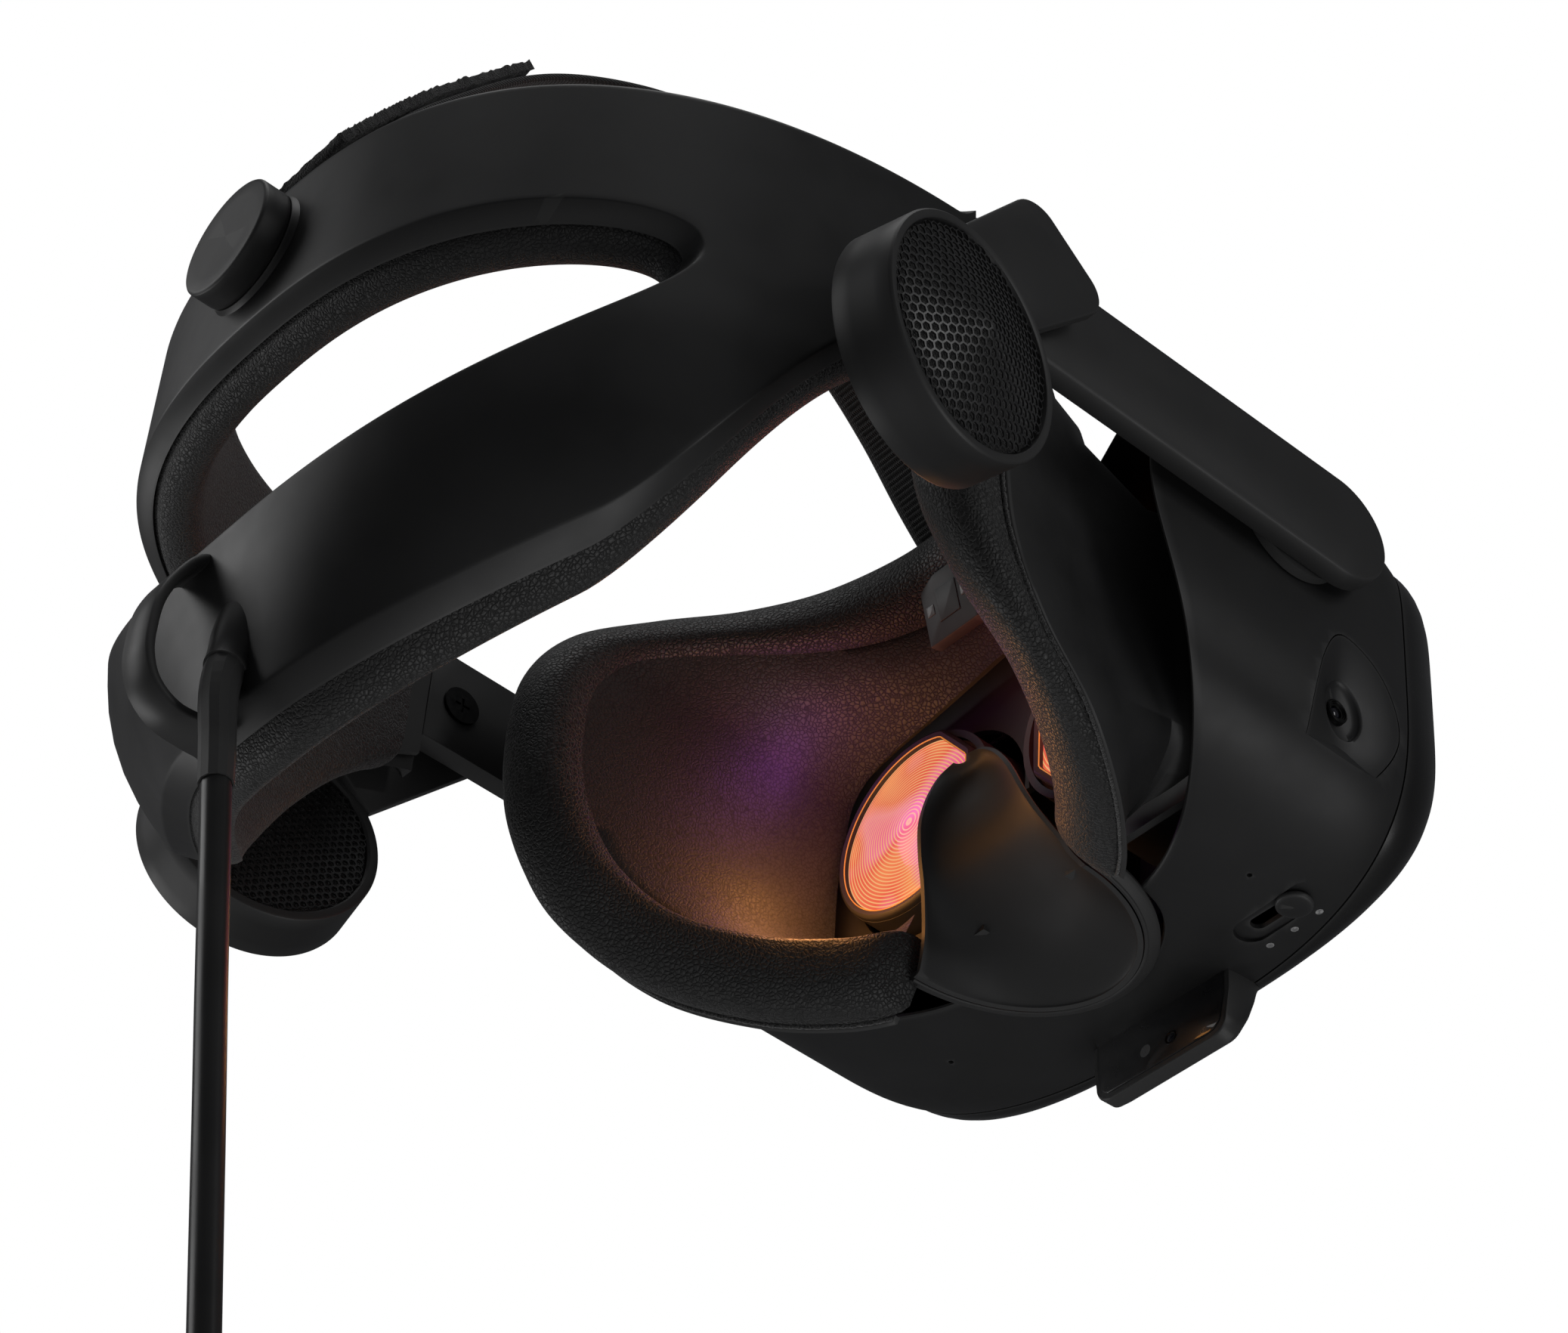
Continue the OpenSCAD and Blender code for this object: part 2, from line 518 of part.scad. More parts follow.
// A thin wall between two grids of points, front and back.
function quad(a, b, c, d) = [[a, b, c], [a, c, d]];
module sheet(front, back) {
    m = len(front);
    n = len(front[0]);
    function f(i, j) = i * n + j;
    function g(i, j) = (m + i) * n + j;
    polyhedron(points = [for (row = front) each row, for (row = back) each row], faces = [
        for (i = [0 : m - 2], j = [0 : n - 2]) each quad(f(i, j), f(i, j + 1), f(i + 1, j + 1), f(i + 1, j)),
        for (i = [0 : m - 2], j = [0 : n - 2]) each quad(g(i, j), g(i + 1, j), g(i + 1, j + 1), g(i, j + 1)),
        for (j = [0 : n - 2]) each quad(f(0, j), g(0, j), g(0, j + 1), f(0, j + 1)),
        for (j = [0 : n - 2]) each quad(f(m - 1, j), f(m - 1, j + 1), g(m - 1, j + 1), g(m - 1, j)),
        for (i = [0 : m - 2]) each quad(f(i, 0), f(i + 1, 0), g(i + 1, 0), g(i, 0)),
        for (i = [0 : m - 2]) each quad(f(i, n - 1), g(i, n - 1), g(i + 1, n - 1), f(i + 1, n - 1))],
        convexity = 6);
}
// The nose flap is a half funnel in the nose arch, open at the bottom and to the rear.
// Each level is [height, half width, rear y, reach forwards].
nose_levels = [[-67.5, 28.5, -96, 36], [-58, 24, -93, 24], [-50, 20, -89, 12], [-44, 18, -86, 8],
    [-30, 14, -82, 8], [-14, 8, -80, 6.5]];
nose_wall = 1.5;
function nose_row(v, w) = [for (a = [0 : 18 : 180]) [(v[1] - w) * cos(a), v[2] - (v[3] - w) * sin(a), v[0]]];
module nose_flap() {
    color([0.05, 0.05, 0.055])
        sheet([for (v = nose_levels) nose_row(v, 0)], [for (v = nose_levels) nose_row(v, nose_wall)]);
}
module ipd_button() {
    color([0.2, 0.2, 0.2]) translate([-51, -143, -64]) union() {
        translate([0, 0, -3.4]) cylinder(r = 4.6, h = 1.6);
        cylinder(r = 3.6, h = 6);
        translate([0, 0, -2]) cylinder(r = 3.6, h = 3);
    }
}
module ipd_rail() {
    color([0.7, 0.7, 0.7]) translate([-66, -112, 11.5]) rotate([0, 90, 0]) cylinder(r = 1.5, h = 132);
}
module lens_barrel(side) {
    color([0.05, 0.05, 0.05]) translate([side * lens_half_spacing, lens_y - 2, lens_z]) rotate([90, 0, 0])
        difference() {
            cylinder(r = lens_radius + 2, h = 36);
            translate([0, 0, -eps]) cylinder(r = lens_radius + 0.05, h = 40);
        }
}
module lens(side) {
    color([1, 0.45, 0.3, 0.8]) translate([side * lens_half_spacing, lens_y - 2, lens_z]) rotate([90, 0, 0])
        cylinder(r = lens_radius, h = 4);
}
module lens_barrel_left() { lens_barrel(1); }
module lens_barrel_right() { lens_barrel(-1); }
module lens_left() { lens(1); }
module lens_right() { lens(-1); }

// ---- Face gasket ----
// Middle of the cushion, from the nose out round the cheek and temple to the forehead.
half_crest = [[31, -92, -66], [42, -82, -69], [55, -66, -70], [67, -45, -67], [72, -25, -58], [73, -13, -42],
    [73, -9, -22], [71, -10, -2], [67, -20, 14], [58, -38, 24], [45, -55, 29], [30, -67, 32], [14, -75, 36], [0, -78, 39]];
crest = [for (p = half_crest) p, for (i = [len(half_crest) - 2 : -1 : 0]) [-half_crest[i][0], half_crest[i][1], half_crest[i][2]]];
face_mid = [0, 0, -18];
function crest_out(p) = let (v = [p[0] * 0.72, 0, p[2] - face_mid[2]]) unit(v);
function cushion_section(p, w, back, front) = let (o = crest_out(p))
    [p + o * w + [0, front, 0], p + o * w + [0, back * 0.5, 0], p + o * w * 0.6 + [0, back, 0], p - o * w * 0.6 + [0, back, 0],
     p - o * w + [0, back * 0.4, 0], p - o * w + [0, front, 0]];
module face_cushion() {
    q = curve(crest, 2);
    color([0.1, 0.1, 0.105]) loft([for (p = q) cushion_section(p, 9.5, 6, -8)]);
}
// Thin wall from the cushion down into the visor.
function wall_section(p, w) = let (o = crest_out(p), f = [p[0] * 0.96, -100, mix(p[2], face_mid[2], 0.36)])
    [p + o * 6 + [0, -8.2, 0], p + o * (6 - w) + [0, -8.2, 0], f + o * (1 - w), f + o];
module gasket_frame() {
    q = [for (p = curve(crest, 2)) if (p[1] > -88) p];
    color([0.06, 0.06, 0.06]) loft([for (p = q) wall_section(p, 2)]);
}
module sensor_plate() {
    color([0.05, 0.05, 0.055]) translate([0, -78.4, 25.5]) rotate([-16, 0, 0]) translate([-8.5, 0, -17]) cube([17, 1.5, 17]);
}
module gasket_magnets() {
    color([0.7, 0.7, 0.7]) for (side = [-1, 1]) translate([side * 72, -100, -10]) rotate([90, 0, 0]) cylinder(r = 3, h = 1.8);
}

halo_upper_shell();
halo_lower_shell();
halo_upper_liner();
halo_lower_liner();
halo_upper_pad();
halo_lower_pad();
rack_left();
rack_right();
dial_boss();
dial_knob();
dial_shaft();
dial_pinion();
cable_loop();
cable_gland();
strain_relief();
cable();
cable_coil();
cable_tie();
cable_plug();
strap_rear();
strap_lap();
strap_front();
arm_left();
arm_right();
hinge_discs();
hinge_pins();
pivot_screws();
speaker_plate_left();
speaker_plate_right();
pivot_stub_left();
pivot_stub_right();
speaker_drum_left();
speaker_drum_right();
ear_grille_left();
ear_grille_right();
rear_grille_left();
rear_grille_right();
speaker_driver_left();
speaker_driver_right();
visor_housing();
front_cover();
lens_bulkhead();
displays();
mainboard();
side_camera_dishes();
side_camera_lenses();
face_camera_pod();
pod_window();
microphones();
nose_flap();
ipd_button();
ipd_rail();
lens_barrel_left();
lens_barrel_right();
lens_left();
lens_right();
gasket_frame();
face_cushion();
sensor_plate();
gasket_magnets();
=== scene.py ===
import math

import bmesh
import bpy
import numpy as np
from mathutils import Matrix, Vector


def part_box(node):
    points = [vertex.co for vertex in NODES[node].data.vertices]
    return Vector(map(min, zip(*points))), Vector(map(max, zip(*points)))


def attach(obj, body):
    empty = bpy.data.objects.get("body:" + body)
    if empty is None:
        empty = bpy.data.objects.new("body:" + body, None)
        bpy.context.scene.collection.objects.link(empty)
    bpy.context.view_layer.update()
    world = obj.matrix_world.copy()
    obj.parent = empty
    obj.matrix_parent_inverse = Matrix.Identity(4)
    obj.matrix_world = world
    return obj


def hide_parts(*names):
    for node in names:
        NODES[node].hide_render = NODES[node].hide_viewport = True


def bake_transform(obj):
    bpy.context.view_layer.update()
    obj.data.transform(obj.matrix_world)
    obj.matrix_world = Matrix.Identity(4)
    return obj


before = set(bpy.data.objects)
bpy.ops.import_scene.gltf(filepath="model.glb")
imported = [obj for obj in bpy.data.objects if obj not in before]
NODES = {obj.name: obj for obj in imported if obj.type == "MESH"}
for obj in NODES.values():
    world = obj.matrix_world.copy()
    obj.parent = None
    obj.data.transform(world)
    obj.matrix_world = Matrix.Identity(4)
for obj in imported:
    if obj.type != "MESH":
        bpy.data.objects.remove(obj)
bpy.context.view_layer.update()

MM = 0.001


def link(obj):
    bpy.context.scene.collection.objects.link(obj)


# ---- Camera ----
def make_camera():
    right = Vector((-0.658, -0.750, 0.0575))
    ahead = Vector((0.579, -0.456, 0.675)).normalized()
    right = (right - ahead * right.dot(ahead)).normalized()
    up = right.cross(ahead)
    data = bpy.data.cameras.new("camera")
    data.lens = 97.16
    data.sensor_width = 36
    data.clip_start = 0.05
    data.clip_end = 60
    cam = bpy.data.objects.new("camera", data)
    link(cam)
    turn = Matrix((right, up, -ahead)).transposed().to_4x4()
    cam.matrix_world = Matrix.Translation(Vector((-0.5736, 0.4259, -0.7009))) @ turn
    bpy.context.scene.camera = cam


make_camera()


# ---- Maths ----
def clamp01(v):
    return min(1.0, max(0.0, v))


def ease(v):
    w = clamp01(v)
    return w * w * (3 - 2 * w)


def mix(a, b, u):
    return a + (b - a) * u


def spow(v, e):
    return math.copysign(abs(v) ** e, v)


def vec(x, y, z):
    return np.array([x, y, z])


def unit(v):
    v = np.array(v, float)
    return v / np.linalg.norm(v)


def curve(points, steps, closed=False):
    """Catmull-Rom curve through the points, with that many steps in each span."""
    p = [np.array(q, float) for q in points]
    n = len(p)
    at = (lambda k: p[k % n]) if closed else (lambda k: p[min(max(k, 0), n - 1)])
    out = []
    for i in range(n if closed else n - 1):
        a, b, c, d = at(i - 1), at(i), at(i + 1), at(i + 2)
        for s in range(steps):
            u = s / steps
            out.append(0.5 * (2 * b + (c - a) * u + (2 * a - 5 * b + 4 * c - d) * u * u
                              + (3 * b - a - 3 * c + d) * u ** 3))
    if not closed:
        out.append(p[-1])
    return out


def even(points, count, closed=True):
    """The same line with points at even distances along it."""
    p = np.array(points, float)
    if closed:
        p = np.vstack([p, p[:1]])
    far = np.concatenate([[0], np.cumsum(np.linalg.norm(np.diff(p, axis=0), axis=1))])
    want = np.linspace(0, far[-1], count + 1 if closed else count)
    if closed:
        want = want[:-1]
    return np.stack([np.interp(want, far, p[:, k]) for k in range(p.shape[1])], 1)


# ---- Meshes ----
def piece(name, points, faces, material, body=None, stands_for=(), slot=None, sharp=40):
    """A new mesh object from points in millimetres, riding on a body."""
    mesh = bpy.data.meshes.new(name)
    mesh.from_pydata([tuple(float(c) * MM for c in p) for p in points], [], faces)
    bm = bmesh.new()
    bm.from_mesh(mesh)
    bmesh.ops.remove_doubles(bm, verts=bm.verts, dist=0.002 * MM)
    bmesh.ops.recalc_face_normals(bm, faces=bm.faces)
    bm.to_mesh(mesh)
    bm.free()
    mesh.polygons.foreach_set("use_smooth", [True] * len(mesh.polygons))
    mesh.set_sharp_from_angle(angle=math.radians(sharp))
    mesh.materials.append(material)
    obj = bpy.data.objects.new(name, mesh)
    link(obj)
    if stands_for:
        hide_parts(*stands_for)
    if body:
        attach(obj, body)
    return obj


def grid(rings, closed_rings=False, closed_sections=True, caps=False):
    """Points and faces of a skin through a list of sections."""
    n, m = len(rings[0]), len(rings)
    points = [p for r in rings for p in r]
    faces = []
    for i in range(m if closed_rings else m - 1):
        h = (i + 1) % m
        for j in range(n if closed_sections else n - 1):
            k = (j + 1) % n
            faces.append((i * n + j, i * n + k, h * n + k, h * n + j))
    if caps:
        faces.append(tuple(range(n))[::-1])
        faces.append(tuple((m - 1) * n + j for j in range(n)))
    return points, faces


def joined(*parts):
    """Several (points, faces) pairs as one."""
    points, faces = [], []
    for p, f in parts:
        base = len(points)
        points += list(p)
        faces += [tuple(base + v for v in face) for face in f]
    return points, faces


def tube_rings(path, radii, sides, side_axis=(1, 0, 0)):
    last = len(path) - 1
    rings = []
    for i, p in enumerate(path):
        d = unit(path[min(i + 1, last)] - path[max(i - 1, 0)])
        v = unit(np.cross(d, side_axis))
        w = np.cross(d, v)
        rings.append([p + radii[i] * (w * math.cos(a) + v * math.sin(a))
                      for a in np.linspace(0, 2 * math.pi, sides, endpoint=False)])
    return rings


def ring_tube(path, radius, sides=8):
    """A closed tube along a closed path of points."""
    n = len(path)
    rings = []
    mid = np.mean(path, axis=0)
    for i, p in enumerate(path):
        d = unit(path[(i + 1) % n] - path[i - 1])
        v = unit(np.cross(d, p - mid))
        w = np.cross(d, v)
        rings.append([p + radius * (w * math.cos(a) + v * math.sin(a))
                      for a in np.linspace(0, 2 * math.pi, sides, endpoint=False)])
    return grid(rings, closed_rings=True)


def lathe(profile, place, steps=96):
    """A turned shape: profile points are (radius, height), and place takes (x, y, z) to the row frame."""
    rings = [[place(r * math.cos(a), r * math.sin(a), z) for r, z in profile]
             for a in np.linspace(0, 2 * math.pi, steps, endpoint=False)]
    return grid(rings, closed_rings=True, closed_sections=False)


# ---- Materials ----
class Shader:
    """A new material with its Principled shader, and short calls to add nodes to it."""

    def __init__(self, name, colour, roughness, **sockets):
        self.material = bpy.data.materials.new(name)
        self.material.use_nodes = True
        self.tree = self.material.node_tree
        self.bsdf = self.tree.nodes["Principled BSDF"]
        self.bsdf.inputs["Base Color"].default_value = (*colour, 1)
        self.bsdf.inputs["Roughness"].default_value = roughness
        for key, value in sockets.items():
            self.bsdf.inputs[key.replace("_", " ")].default_value = value
        self.place = self.add("ShaderNodeTexCoord").outputs["Object"]

    def add(self, kind, links=None, values=None, **props):
        node = self.tree.nodes.new(kind)
        for key, value in props.items():
            setattr(node, key, value)
        for key, value in (values or {}).items():
            node.inputs[key].default_value = value
        for key, socket in (links or {}).items():
            self.tree.links.new(socket, node.inputs[key])
        return node

    def noise(self, scale, detail=3.0, place=None):
        return self.add("ShaderNodeTexNoise", {"Vector": place or self.place},
                        {"Scale": scale, "Detail": detail}).outputs["Fac"]

    def ramp(self, fac, stops):
        node = self.add("ShaderNodeValToRGB", {"Fac": fac})
        ramp = node.color_ramp
        while len(ramp.elements) < len(stops):
            ramp.elements.new(0.5)
        for element, (at, colour) in zip(ramp.elements, stops):
            element.position = at
            element.color = (*colour, 1) if hasattr(colour, "__len__") else (colour,) * 3 + (1,)
        return node.outputs["Color"]

    def colour(self, socket):
        self.tree.links.new(socket, self.bsdf.inputs["Base Color"])

    def rough(self, socket):
        self.tree.links.new(socket, self.bsdf.inputs["Roughness"])

    def maths(self, operation, a, b):
        node = self.add("ShaderNodeMath", operation=operation)
        for slot, value in enumerate((a, b)):
            if isinstance(value, (int, float)):
                node.inputs[slot].default_value = value
            else:
                self.tree.links.new(value, node.inputs[slot])
        return node.outputs["Value"]

    def bump(self, height, strength, distance):
        node = self.add("ShaderNodeBump", {"Height": height}, {"Strength": strength, "Distance": distance})
        self.tree.links.new(node.outputs["Normal"], self.bsdf.inputs["Normal"])

    def blend(self, share, socket, colour):
        """A colour socket that turns into a plain colour where the share is 1."""
        node = self.add("ShaderNodeMix", data_type="RGBA")
        start, end = [k for k in node.inputs if k.type == "RGBA"]
        self.tree.links.new(share, node.inputs[0])
        self.tree.links.new(socket, start)
        end.default_value = (*colour, 1)
        return [k for k in node.outputs if k.type == "RGBA"][0]


def mottled_with_edge_highlight(shader, dark, light, edge):
    """Mottled colour, with a painted highlight that lightens it a little along convex edges."""
    base = shader.ramp(shader.noise(35, 5), [(0.3, dark), (0.7, light)])
    # painted highlight: convex edges, found by pointiness, turn towards the edge colour
    point = shader.add("ShaderNodeNewGeometry").outputs["Pointiness"]
    rim = shader.ramp(point, [(0.51, 0.0), (0.56, 1.0)])
    shader.colour(shader.blend(rim, base, edge))


def satin_plastic(name, tone=0.011, low=0.38, high=0.5, grain=0.12):
    """Moulded plastic with a fine even texture."""
    s = Shader(name, (tone,) * 3, low, Specular_IOR_Level=0.42)
    # the last colour, three times the tone, is the painted edge highlight
    mottled_with_edge_highlight(s, (tone * 0.85,) * 3, (tone * 1.2, tone * 1.2, tone * 1.25), (tone * 3,) * 3)
    s.rough(s.ramp(s.noise(60, 4), [(0.3, low), (0.7, high)]))
    s.bump(s.noise(5200, 2), grain, 0.00006)
    return s.material


def leather(name, tone=0.012, cell=700, depth=0.00028):
    """Grained synthetic leather: cells with soft creases between them."""
    s = Shader(name, (tone,) * 3, 0.5, Specular_IOR_Level=0.5, Sheen_Weight=0.15, Sheen_Roughness=0.4)
    shift = s.add("ShaderNodeTexNoise", {"Vector": s.place}, {"Scale": 420, "Detail": 3}).outputs["Color"]
    moved = s.add("ShaderNodeVectorMath", {0: shift}, {1: (0.0008, 0.0008, 0.0008)}, operation="MULTIPLY")
    place = s.add("ShaderNodeVectorMath", {0: s.place, 1: moved.outputs["Vector"]},
        operation="ADD").outputs["Vector"]
    cells = s.add("ShaderNodeTexVoronoi", {"Vector": place}, {"Scale": cell},
                  feature="DISTANCE_TO_EDGE").outputs["Distance"]
    crease = s.ramp(cells, [(0.0, 0.0), (0.16, 0.75), (0.45, 1.0)])
    # painted shade and highlight: the colour darkens into the creases between cells and lightens on their
    # crowns
    tint = s.ramp(cells, [(0.0, tone * 0.35), (0.12, tone), (0.5, tone * 1.5)])
    s.colour(tint)
    s.rough(s.ramp(cells, [(0.0, 0.75), (0.2, 0.5), (0.6, 0.42)]))
    fine = s.maths("MULTIPLY", s.noise(2600, 3), 0.22)
    s.bump(s.maths("ADD", crease, fine), 0.75, depth)
    return s.material


def cloth(name, tone, scale, depth):
    """Close weave seen as short raised threads."""
    s = Shader(name, (tone,) * 3, 0.85, Specular_IOR_Level=0.25, Sheen_Weight=0.3, Sheen_Roughness=0.5)
    across = s.add("ShaderNodeTexWave", {"Vector": s.place}, {"Scale": scale, "Distortion": 2.0,
        "Detail": 2.0}, bands_direction="X").outputs["Fac"]
    along = s.add("ShaderNodeTexWave", {"Vector": s.place}, {"Scale": scale * 0.8, "Distortion": 2.0,
        "Detail": 2.0}, bands_direction="Z").outputs["Fac"]
    weave = s.maths("MULTIPLY", across, along)
    # painted shade and highlight: the colour follows the weave's height, dark in the gaps and light on the
    # raised threads
    s.colour(s.ramp(weave, [(0.0, tone * 0.4), (0.5, tone), (1.0, tone * 2.2)]))
    s.bump(s.maths("ADD", weave, s.noise(4000, 2)), 0.8, depth)
    return s.material


def fuzz(name, tone):
    """Hook and loop tape, foam and flock: broken, fibrous surface."""
    s = Shader(name, (tone,) * 3, 0.95, Specular_IOR_Level=0.15, Sheen_Weight=0.4)
    fibres = s.noise(2400, 6)
    s.colour(s.ramp(fibres, [(0.35, tone * 0.3), (0.62, tone * 2.4)]))
    s.bump(fibres, 1.0, 0.0006)
    return s.material


def metal(name, tone, roughness, grain=900):
    s = Shader(name, tone, roughness, Metallic=1.0)
    s.colour(s.ramp(s.noise(300, 4), [(0.3, [c * 0.8 for c in tone]), (0.7, tone)]))
    s.rough(s.ramp(s.noise(grain, 3), [(0.3, roughness * 0.8), (0.7, roughness * 1.25)]))
    s.bump(s.noise(grain * 4, 2), 0.1, 0.00005)
    return s.material


def gloss(name, tone, roughness=0.08):
    s = Shader(name, tone, roughness, Coat_Weight=0.6, Coat_Roughness=0.05)
    s.colour(s.ramp(s.noise(90, 3), [(0.3, [c * 0.8 for c in tone]), (0.7, [c * 1.15 for c in tone])]))
    s.rough(s.ramp(s.noise(240, 4), [(0.35, roughness * 0.8), (0.65, roughness * 1.4)]))
    return s.material


def lens_glow(name, centre):
    """A stepped lens with a painted glow: its emission paints fine rings over drifting orange and pink."""
    s = Shader(name, (0.05, 0.02, 0.02), 0.12, Coat_Weight=0.5)
    moved = s.add("ShaderNodeVectorMath", {0: s.place}, {1: [c * MM for c in centre]},
        operation="SUBTRACT").outputs["Vector"]
    radius = s.add("ShaderNodeVectorMath", {0: moved}, operation="LENGTH").outputs["Value"]
    wide = s.noise(38, 1.0, moved)
    tint = s.ramp(wide, [(0.3, (0.95, 0.10, 0.30)), (0.42, (0.98, 0.22, 0.34)), (0.5, (0.9, 0.13, 0.07)),
                         (0.6, (1.0, 0.30, 0.10)), (0.72, (0.80, 0.16, 0.40))])
    wave = s.maths("SINE", s.maths("MULTIPLY", radius, 2 * math.pi / (0.95 * MM)), 0)
    lines = s.ramp(s.maths("MULTIPLY", s.maths("ADD", wave, 1.0), 0.5), [(0.55, 0.0), (0.95, 1.0)])
    # painted glow and highlight: the lens emits its colours and bright ring lines though it is no lamp
    s.tree.links.new(s.blend(lines, tint, (1.0, 0.55, 0.22)), s.bsdf.inputs["Emission Color"])
    s.bsdf.inputs["Emission Strength"].default_value = 0.85
    s.bump(s.maths("MULTIPLY", wave, 0.5), 0.3, 0.0001)
    return s.material


SHELL = satin_plastic("shell_plastic")
KNOB = satin_plastic("knob_plastic", 0.013, 0.42, 0.52)
ARM = satin_plastic("arm_plastic", 0.012, 0.4, 0.5)
VISOR = satin_plastic("visor_plastic", 0.012, 0.42, 0.54)
INNER = satin_plastic("inner_plastic", 0.014, 0.45, 0.6)
COVER = satin_plastic("cover_plastic", 0.009, 0.22, 0.32, 0.05)
LEATHER = leather("pad_leather", 0.013, 1050, 0.0003)
FACE_LEATHER = leather("face_leather", 0.013, 900, 0.00032)
LINING = leather("gasket_lining", 0.02, 900, 0.00012)
STRAP = cloth("strap_weave", 0.012, 520, 0.0002)
STITCH = fuzz("stitch_thread", 0.03)
HOOK = fuzz("hook_tape", 0.012)
FOAM = fuzz("acoustic_foam", 0.010)
MESH = metal("grille_metal", (0.13, 0.13, 0.13), 0.34)
RUBBER = satin_plastic("soft_rubber", 0.012, 0.5, 0.62, 0.2)
CABLE = satin_plastic("cable_jacket", 0.008, 0.3, 0.4, 0.05)
STEEL = metal("turned_steel", (0.55, 0.55, 0.56), 0.28)
BLACK_STEEL = metal("blackened_steel", (0.03, 0.03, 0.03), 0.35)
NYLON = satin_plastic("rack_nylon_white", 0.5, 0.4, 0.5)
DRIVER = metal("driver_metal", (0.25, 0.25, 0.26), 0.35)
WINDOW = gloss("infrared_window", (0.008, 0.008, 0.009), 0.34)
CAMERA_GLASS = gloss("camera_lens_glass", (0.006, 0.006, 0.012), 0.03)
BOARD = gloss("board_lacquer", (0.005, 0.008, 0.006), 0.4)
PANEL = gloss("display_panel", (0.02, 0.02, 0.05), 0.1)
GREY_DOT = satin_plastic("printed_grey", 0.12, 0.4, 0.5)
PANE = satin_plastic("sensor_window", 0.04, 0.25, 0.35)


# ---- Cable ----
CABLE_D = 6.4
ROUTE = [(-4, 117.5, -123), (-4, 119.3, -127), (-4.2, 120.6, -131), (-4.6, 121.2, -136), (-5, 121, -142),
    (-5.6, 120, -150), (-6.5, 118.8, -162), (-8, 116.6, -182), (-10.2, 113.4, -212), (-12.5, 110.1, -242),
    (-14.8, 106.9, -272), (-17, 103.6, -302), (-19.3, 100.3, -332), (-20.8, 98.2, -352), (-22.3, 96, -372)]
coil_low, coil_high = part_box("cable_coil")
COIL_BUNDLE = (coil_high.y - coil_low.y) / 2 / MM
COIL_R = (coil_high.x - coil_low.x) / 2 / MM - COIL_BUNDLE
COIL_AT = np.array((coil_low + coil_high) / 2) / MM


def coil_places():
    """Where each turn crosses the bundle, as (outwards, sideways), row after row."""
    pitch = CABLE_D + 0.25
    reach = COIL_BUNDLE - CABLE_D / 2 + 0.05
    places = []
    for row in (-2, -1, 0, 1, 2):
        side = row * pitch * math.sqrt(3) / 2
        shift = 0.5 * (row % 2)
        spots = [(k + shift) * pitch for k in range(-3, 4)]
        line = [(spot, side) for spot in spots if math.hypot(spot, side) <= reach]
        places += line if row % 2 else line[::-1]
    return places


def coil_points():
    """The turns of the coil.

    The cable comes straight down into the middle of the bundle and leaves it the same way.
    """
    places = coil_places()
    steps = 36
    last = len(places) - 1
    out = []
    for turn, (r0, y0) in enumerate(places):
        r1, y1 = places[min(turn + 1, last)]
        for s in range(steps):
            u = s / steps
            w = ease((u - 0.8) / 0.19)
            r, y = mix(r0, r1, w), mix(y0, y1, w)
            into = ease(u / 0.3) if turn == 0 else 1 - ease((u - 0.7) / 0.3) if turn == last else 1
            a = math.pi + 2 * math.pi * u
            out.append(COIL_AT + vec((COIL_R + r * into) * math.cos(a), y * into,
                (COIL_R + r * into) * math.sin(a)))
    return out


def make_cable():
    turns = coil_points()
    lead = [np.array(p, float) for p in ROUTE] + [mix(np.array(ROUTE[-1], float), turns[0], 0.5)]
    tail = [turns[0] - (0, 0, d) for d in (0, 8, 16, 24, 32, 40, 46)]
    fine = curve(lead + turns[:3], 6) + turns[3:] + tail
    line = bpy.data.curves.new("cable_line", "CURVE")
    line.dimensions = "3D"
    spline = line.splines.new("POLY")
    spline.points.add(len(fine) - 1)
    for point, p in zip(spline.points, fine):
        point.co = (*(p * MM), 1)
    line.bevel_depth = CABLE_D / 2 * MM
    line.bevel_resolution = 4
    line.use_fill_caps = True
    line.materials.append(CABLE)
    obj = bpy.data.objects.new("cable_run", line)
    link(obj)
    length = sum(np.linalg.norm(b - a) for a, b in zip(fine, fine[1:]))
    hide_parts("cable", "cable_coil")
    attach(obj, "headband")
    for node, material in (("strain_relief", RUBBER), ("cable_tie", HOOK), ("cable_plug", KNOB)):
        paint(node, material)
    [c * MM for c in ROUTE[0]]


def paint(node, material):
    obj = NODES[node]
    obj.data.materials.clear()
    obj.data.materials.append(material)


make_cable()


# ---- Halo ----
HALO_HALF, HALO_REACH, SEAM_Y = 102, 121, 10
EDGE_TIP, EDGE_HALF = 59.4, 27
RIM_BEVEL = 4.6
DEGREES_PER_MM = 0.56


def bowl(z):
    return 0.0022 * max(0, -55 - z) ** 2


def narrowing(z):
    return 1 - 0.4 * ease((-90 - z) / 60)


def halo_point(t, z, depth):
    o = depth + bowl(z)
    r = math.radians(t)
    return np.array([spow(math.sin(r), 0.8) * (HALO_HALF - o) * narrowing(z),
                     SEAM_Y + max(0, math.cos(r)) ** 0.8 * (HALO_REACH - o), z])


def rim_top(t):
    return 8 + 9 * abs(t / 90) ** 3


def rim_low(t):
    return -141 + 30 * (t / 57) ** 2 + 40 * ease((abs(t) - 55) / 33)


def opening_mid(t):
    return -65.5 + 25.5 * min(abs(t) / 61, 1) ** 2


def inner_line(phi, grow):
    """The rear opening's edge, grown outwards by some millimetres, as (t, z above the opening's middle)."""
    c = math.cos(phi)
    tip = EDGE_TIP + grow * DEGREES_PER_MM
    height = (EDGE_HALF + grow) * math.sqrt(max(0, 1 - abs(c) ** 1.45))
    return tip * spow(c, 0.9), math.copysign(height, math.sin(phi))


END = math.radians(9)


